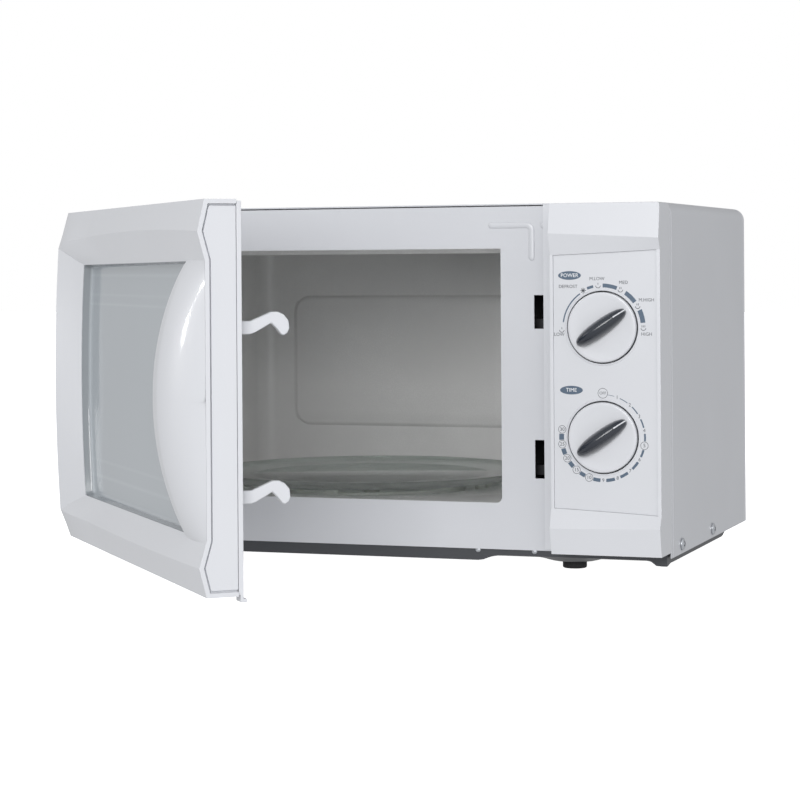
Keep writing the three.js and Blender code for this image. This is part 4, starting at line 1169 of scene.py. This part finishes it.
def bowl_icon(centre, steam, rise):
    """A small bowl with strokes of steam above it."""
    x, z = centre
    bowl = turned([(1.45, 0), (1.85, 0)], 24, "Y", (x, PLATE_FRONT, z))
    sliced(bowl, (0, 0, z - 0.1), (0, 0, 1), True)
    parts = [raised_print(bowl, rise)]
    for index in range(steam):
        steam_x = x + index - (steam - 1) / 2
        parts.append(stroke((steam_x, z + 0.4), (steam_x, z + 1.8), 0.36, rise))
    return parts


class OVEN_OT_print(bpy.types.Operator):
    """Prints the scales, icons and words round both dials"""
    bl_idname = "oven.dial_print"
    bl_label = "Dial print"

    def execute(self, context):
        rise = context.scene.oven_sizes.print_rise / MM
        self.power_scale(rise)
        self.timer_scale(rise)
        return {"FINISHED"}

    def power_scale(self, rise):
        radius = 28.3
        bars = [band(POWER_Z, 27.0, 27.9, 124.2, 172.7, rise)]
        for start, end, width in ((102.6, 111.7, 1.8), (68.9, 89.2, 2.6), (37.1, 55.5, 3.0), (6.3, 24.3, 3.3)):
            bars.append(band(POWER_Z, radius - width / 2, radius + width / 2, start, end, rise))
        shown(joined(*bars), "power_scale_bars", CABINET, "ink_marks", "root")
        small = []
        snowflake = Vector(around(POWER_Z, 28.2, 118))
        for turn in range(4):
            angle = math.radians(turn * 45)
            reach = Vector((1.9 * math.cos(angle), 1.9 * math.sin(angle)))
            small.append(stroke(snowflake - reach, snowflake + reach, 0.45, rise))
        for degrees, steam in ((183.5, 1), (95.8, 1), (63.5, 2), (30.3, 2), (-0.8, 3)):
            small.extend(bowl_icon(around(POWER_Z, 28.4, degrees), steam, rise))
        for text, x, z in (("LOW", -30.2, -4.9), ("DEFROST", -23.8, 27.6), ("M.LOW", -3.6, 32.8), ("MED", 14.8, 30.2),
                           ("M.HIGH", 30.6, 18.4), ("HIGH", 30.6, -4.6)):
            small.append(lettering(text, (DIAL_X + x, POWER_Z + z), 2.2, rise))
        shown(joined(*small), "power_scale_words", CABINET, "ink_letters", "root")
        self.badge("power", "POWER", (DIAL_X - 0.956 * KNOB_RADIUS, POWER_Z + 1.477 * KNOB_RADIUS), rise)

    def timer_scale(self, rise):
        radius, step = 29.0, 20
        minutes = [*range(1, 11), 15, 20, 25, 30]
        marks = ["OFF", *map(str, minutes)]
        circled = {"OFF": 3.5, **{str(minute): 2.75 for minute in minutes if minute % 5 == 0}}
        room = [6.0 if text in circled else 4.0 for text in marks]  # degrees kept free beside each mark
        bars, small = [], []
        for index, text in enumerate(marks):
            degrees = 90 - step * index
            spot = around(TIMER_Z, radius + (0.9 if text == "OFF" else 0.0), degrees)
            small.append(lettering(text, spot, 1.9 if text == "OFF" else 2.4, rise))
            if text in circled:
                small.append(ring(spot, circled[text], 0.3, rise))
            if index + 1 < len(marks):
                width = 0.3 + 3.1 * index / (len(marks) - 2)
                start, end = degrees - step + room[index + 1], degrees - room[index]
                bars.append(band(TIMER_Z, radius - width / 2, radius + width / 2, start, end, rise))
        shown(joined(*bars), "timer_scale_bars", CABINET, "ink_marks", "root")
        shown(joined(*small), "timer_scale_numbers", CABINET, "ink_letters", "root")
        self.badge("timer", "TIME", (DIAL_X - 0.92 * KNOB_RADIUS, TIMER_Z + 1.335 * KNOB_RADIUS), rise)

    def badge(self, dial, text, centre, rise):
        shown(oval(centre, 8.0, 2.95, rise), f"{dial}_badge", CABINET, "ink_marks", "root")
        letters = lettering(text, centre, 2.5, rise, PLATE_FRONT - rise)
        shown(letters, f"{dial}_badge_word", CABINET, "ink_white", "root")


# ------------------------------------------------------------------ door
STILE_COLUMNS, WINDOW_COLUMNS, FREE_COLUMNS, WINDOW_ROWS = 7, 40, 4, 14
CORNER_X = DOOR_LEFT + 2.5  # where the bowed ridges, the mitre and the stile's edge meet
CORNER_LOW, CORNER_HIGH = 36.6, 227.4
STILE_MIDDLE = 132  # the height where the stile bulges most
CREASE_X = 60.0  # where the short third crease from that corner reaches the window


def window_left(share):
    """The bowed left edge of the window at a share of its height."""
    return 32.0 + 10.0 * (2 * share - 1) ** 2


def window_point(across, share):
    """A point of the window from its left to its right edge, at a share of its height."""
    left = window_left(share)
    s = blend(left, WINDOW_RIGHT, across)
    return s, blend(WINDOW_BOTTOM, WINDOW_TOP + 0.005 * (s - WINDOW_LEFT), share)


def door_skin(ridge, bulge):
    """The door's front: bowed ridges above and below, a bulging hinge stile with mitred corners and a window."""
    crown = DOOR_FACE + ridge + 0.3
    edge_face = 10.4  # how far the door's upper and lower edges stand in front of the hinge line
    columns = WINDOW_COLUMNS + FREE_COLUMNS

    def edge_depth(z):
        return DOOR_FACE + bulge - 2.9 * min(1.0, ((z - STILE_MIDDLE) / 94) ** 2)

    def hinge_edge(z):
        return Vector((DOOR_LEFT, 0.9 - edge_depth(z), z))

    def window_row(i, share):
        if i > STILE_COLUMNS:
            across = (i - STILE_COLUMNS) / WINDOW_COLUMNS
            if across > 1:
                s = blend(WINDOW_RIGHT, DOOR_RIGHT, (across - 1) * WINDOW_COLUMNS / FREE_COLUMNS)
                return Vector((s, -DOOR_FACE, window_point(1.0, share)[1]))
            s, z = window_point(across, share)
            return Vector((s, -DOOR_FACE, z))
        edge_z = blend(CORNER_LOW, CORNER_HIGH, share)
        if i == 0:
            return hinge_edge(edge_z)
        s, z = window_point(0.0, share)
        inward = (i - 1) / (STILE_COLUMNS - 1)
        depth = blend(edge_depth(edge_z), DOOR_FACE, inward)
        return Vector((blend(CORNER_X, s, inward), -depth, blend(edge_z, z, inward)))

    def ridge_point(i, upper):
        beside = window_row(STILE_COLUMNS + i, 1.0 if upper else 0.0)
        share = min(1.0, max(0.0, (beside.x - CREASE_X) / (WINDOW_RIGHT - CREASE_X)))
        s = blend(CORNER_X, WINDOW_RIGHT, share) if share < 1 else beside.x
        ridge_line = ridge_top if upper else ridge_bottom
        corner_z = CORNER_HIGH if upper else CORNER_LOW
        near = max(0.0, 1 - (s - CORNER_X) / 34) ** 2
        depth = blend(crown, edge_depth(corner_z), eased(1 - (s - CORNER_X) / 80))
        return Vector((s, -depth, ridge_line(HINGE_X + s) + near * (corner_z - ridge_line(HINGE_X + CORNER_X))))

    def facet(upper):
        """From the window's edge out to the ridge, its first column on the mitre."""
        share = 1.0 if upper else 0.0
        return sheet_of(columns, STILE_COLUMNS - 1, lambda i, j: window_row(STILE_COLUMNS + i, share).lerp(
            ridge_point(i, upper), j / (STILE_COLUMNS - 1)))

    def border(upper):
        """From the ridge out to the door's edge."""
        corner_z = CORNER_HIGH if upper else CORNER_LOW

        def place(i, j):
            point = ridge_point(i - 1, upper) if i else hinge_edge(corner_z)
            return Vector((point.x, -edge_face, DOOR_TOP if upper else DOOR_BOTTOM)) if j else point

        return sheet_of(columns + 1, 1, place)

    middle = sheet_of(STILE_COLUMNS + columns, WINDOW_ROWS, lambda i, j: window_row(i, j / WINDOW_ROWS))
    bm = joined(middle, facet(True), facet(False), border(True), border(False))
    bmesh.ops.remove_doubles(bm, verts=bm.verts, dist=1e-3)
    return bm


def door_moulding(sizes):
    """The door's front with its opening, side walls, a recessed free edge and two notches at the hinges."""
    bm = door_skin(sizes.ridge_rise / MM, sizes.stile_bulge / MM)
    drop_faces(bm, lambda face: face.calc_center_median().x < WINDOW_RIGHT
               and all(abs(v.co.y + DOOR_FACE) < 0.01 for v in face.verts))
    outer = rim_edges(bm, lambda co: co.x < DOOR_LEFT + 0.1 or co.x > DOOR_RIGHT - 0.1
                      or co.z < DOOR_BOTTOM + 0.1 or co.z > DOOR_TOP - 0.1)
    drawn(bm, outer, lambda co: Vector((co.x, DOOR_RIM, co.z)))
    facing(bm, (0, -1, 0), lambda face: face.calc_center_median().y < -9)
    free_side = [f for f in bm.faces if f.normal.x > 0.9 and f.calc_center_median().x > DOOR_RIGHT - 0.1]
    for width, depth in ((2.7, 0.0), (0.2, -3.0), (0.9, 0.0), (0.3, 1.6)):
        bmesh.ops.inset_region(bm, faces=free_side, thickness=width, depth=depth, use_even_offset=True)
    notch_half = 1.15
    for z in (240.75, 29.25):
        cut_away(bm, ((-6.2, -4.0), (-4.4, 12.0), (z - notch_half, z + notch_half)))
    return thickened(bm, sizes.plastic_wall / MM)


def handle_shell(sizes, wall):
    """The crescent handle: a flat lip beside the window, a soft ridge and a convex fall to the free edge."""
    bow_width, rise = sizes.handle_bow / MM, sizes.handle_rise / MM
    across_cells, along_cells = 30, 60
    tip, right, low, high = 317.0, 355.9, 50.0, 217.2
    lip = 0.2  # the flat lip's share of the width

    def place(i, j):
        across, along = i / across_cells, j / along_cells
        swell = 4 * along * (1 - along)
        s = blend(tip - bow_width * swell ** 1.05, right, across)
        if across < lip:
            height = blend(0.9, 1.0, across / lip)
        else:
            fall = (across - lip) / (1 - lip)
            height = 1 - 0.07 * fall - 0.93 * fall ** 2
        depth = DOOR_FACE + 0.07 + rise * swell ** 0.8 * height
        return Vector((s, -depth, blend(low, high, along)))

    return thickened(sheet_of(across_cells, along_cells, place), wall)


def window_tray():
    """The tinted pane: its side walls stand forward into the door's opening."""
    gap, margin, floor, wall = 0.35, 1.2, 3.6, 1.0
    columns, rows = 40, 20

    def place(i, j):
        across, up = i / columns, j / rows
        s, z = window_point(across, up)
        return Vector((blend(s + margin, s - margin, across), -floor, blend(z + margin, z - margin, up)))

    def splay(offset, least):
        """How far a wall leans outwards, on the sides where the offset from the middle is large."""
        return math.copysign(margin - gap, offset) if abs(offset) > least else 0

    def forward(co):
        outward = Vector((splay(co.x - 187, 140), 0, splay(co.z - 133, 80)))
        return Vector((co.x, gap - DOOR_FACE, co.z)) + outward

    bm = sheet_of(columns, rows, place)
    drawn(bm, rim_edges(bm, lambda co: True), forward)
    facing(bm, (0, -1, 0))
    return thickened(softened(bm, 2.4, 0.9, 5), wall)


class OVEN_OT_door(bpy.types.Operator):
    """Builds the door's front moulding with its crescent handle"""
    bl_idname = "oven.door"
    bl_label = "Door front and handle"

    def execute(self, context):
        sizes = context.scene.oven_sizes
        front = shown(door_moulding(sizes), "door_front_moulding", DOOR, "white_plastic", "door", ["door_frame"],
                      crease=9)
        rounded(front, sizes.edge_round, 9, 3)
        handle = shown(handle_shell(sizes, 3.0), "door_handle", DOOR, "white_plastic", "door", crease=40)
        rounded(handle, 1.1 * MM, 30, 3)
        return {"FINISHED"}


class OVEN_OT_glazing(bpy.types.Operator):
    """Builds the window pane, the inner cover and the hinge plates"""
    bl_idname = "oven.glazing"
    bl_label = "Door glazing and inner cover"

    def execute(self, context):
        shown(window_tray(), "door_pane", DOOR, "window_panel", "door", ["door_window"], crease=40)
        refined("door_inner_cover", "door_inner_moulding", "white_plastic", "door", 0.5)
        for level in ("upper", "lower"):
            refined(f"{level}_hinge_bracket", f"{level}_hinge_plate", "zinc_steel", "root", 0.2)
        return {"FINISHED"}


# ------------------------------------------------------------------ latch
def coil(centre, low, high, radius, wire, turns):
    """A coil spring: a small ring spun up about the spring's axis."""
    bm = bmesh.new()
    bmesh.ops.create_circle(bm, cap_ends=False, segments=8, radius=wire / 2)
    moved(bm, Matrix.Translation((radius, 0, low + wire / 2)) @ Matrix.Rotation(math.pi / 2, 4, "X"))
    steps = 20 * turns
    rise = (high - low - wire) / steps
    bmesh.ops.spin(
        bm, geom=bm.verts[:] + bm.edges[:], axis=(0, 0, 1), dvec=(0, 0, rise), angle=TURN * turns, steps=steps)
    bmesh.ops.holes_fill(bm, edges=[e for e in bm.edges if e.is_boundary], sides=0)
    return moved(bm, Matrix.Translation((centre[0], centre[1], 0)))


class OVEN_OT_latch(bpy.types.Operator):
    """Builds the latch lever with its two hooks and the spring above it"""
    bl_idname = "oven.latch"
    bl_label = "Latch"

    def execute(self, context):
        refined("latch_lever", "latch_hooks", "white_plastic", "latch", 0.9, 50)
        wire = context.scene.oven_sizes.spring_wire / MM
        spring = shown(coil((343.4, 4.0), 196.4, 209.9, 1.8, wire, 7), "latch_coil", DOOR, "zinc_steel", "latch",
                       ["latch_spring"], crease=80)
        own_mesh(spring)
        refined("latch_board", "latch_channel", "black_plastic", "root", 0.3)
        for level in ("upper", "lower"):
            refined(f"{level}_interlock_switch", f"{level}_microswitch", "black_plastic", "root", 0.3)
            refined(f"{level}_switch_plunger", f"{level}_switch_button", "natural_plastic", f"{level}_plunger", 0.2)
        return {"FINISHED"}


class OVEN_OT_works(bpy.types.Operator):
    """Gives every remaining part of the frame its finish"""
    bl_idname = "oven.works"
    bl_label = "Inner works"

    def execute(self, context):
        slots = {part["node"]: part["material_slot"] for part in frame["record"]["subparts"]}
        for name, node in frame["nodes"].items():
            if node.hide_render:
                continue
            material = finish_for(slots[name])
            if not node.material_slots:
                node.data.materials.append(material)
            for material_slot in node.material_slots:
                material_slot.material = material
        return {"FINISHED"}


class OVEN_PT_panel(bpy.types.Panel):
    """Lists the sizes, the colours and the pieces"""
    bl_idname = "OVEN_PT_panel"
    bl_label = "Microwave oven"
    bl_space_type = "VIEW_3D"
    bl_region_type = "UI"
    bl_category = "Oven"

    def draw(self, context):
        for group in (context.scene.oven_sizes, context.scene.oven_colours):
            box = self.layout.box()
            for name in group.__annotations__:
                box.prop(group, name)
        for operator in OPERATORS:
            self.layout.operator(operator.bl_idname)


OPERATORS = (OVEN_OT_stage, OVEN_OT_cabinet, OVEN_OT_chamber, OVEN_OT_panel, OVEN_OT_dials, OVEN_OT_print,
             OVEN_OT_door, OVEN_OT_glazing, OVEN_OT_latch, OVEN_OT_works)
CLASSES = (OvenSizes, OvenColours, *OPERATORS, OVEN_PT_panel)


def register():
    for item in CLASSES:
        bpy.utils.register_class(item)
    bpy.types.Scene.oven_sizes = bpy.props.PointerProperty(type=OvenSizes)
    bpy.types.Scene.oven_colours = bpy.props.PointerProperty(type=OvenColours)


def unregister():
    del bpy.types.Scene.oven_colours
    del bpy.types.Scene.oven_sizes
    for item in reversed(CLASSES):
        bpy.utils.unregister_class(item)


def main():
    register()
    for operator in OPERATORS:
        group, _, action = operator.bl_idname.partition(".")
        getattr(getattr(bpy.ops, group), action)()


if __name__ == "__main__":
    main()
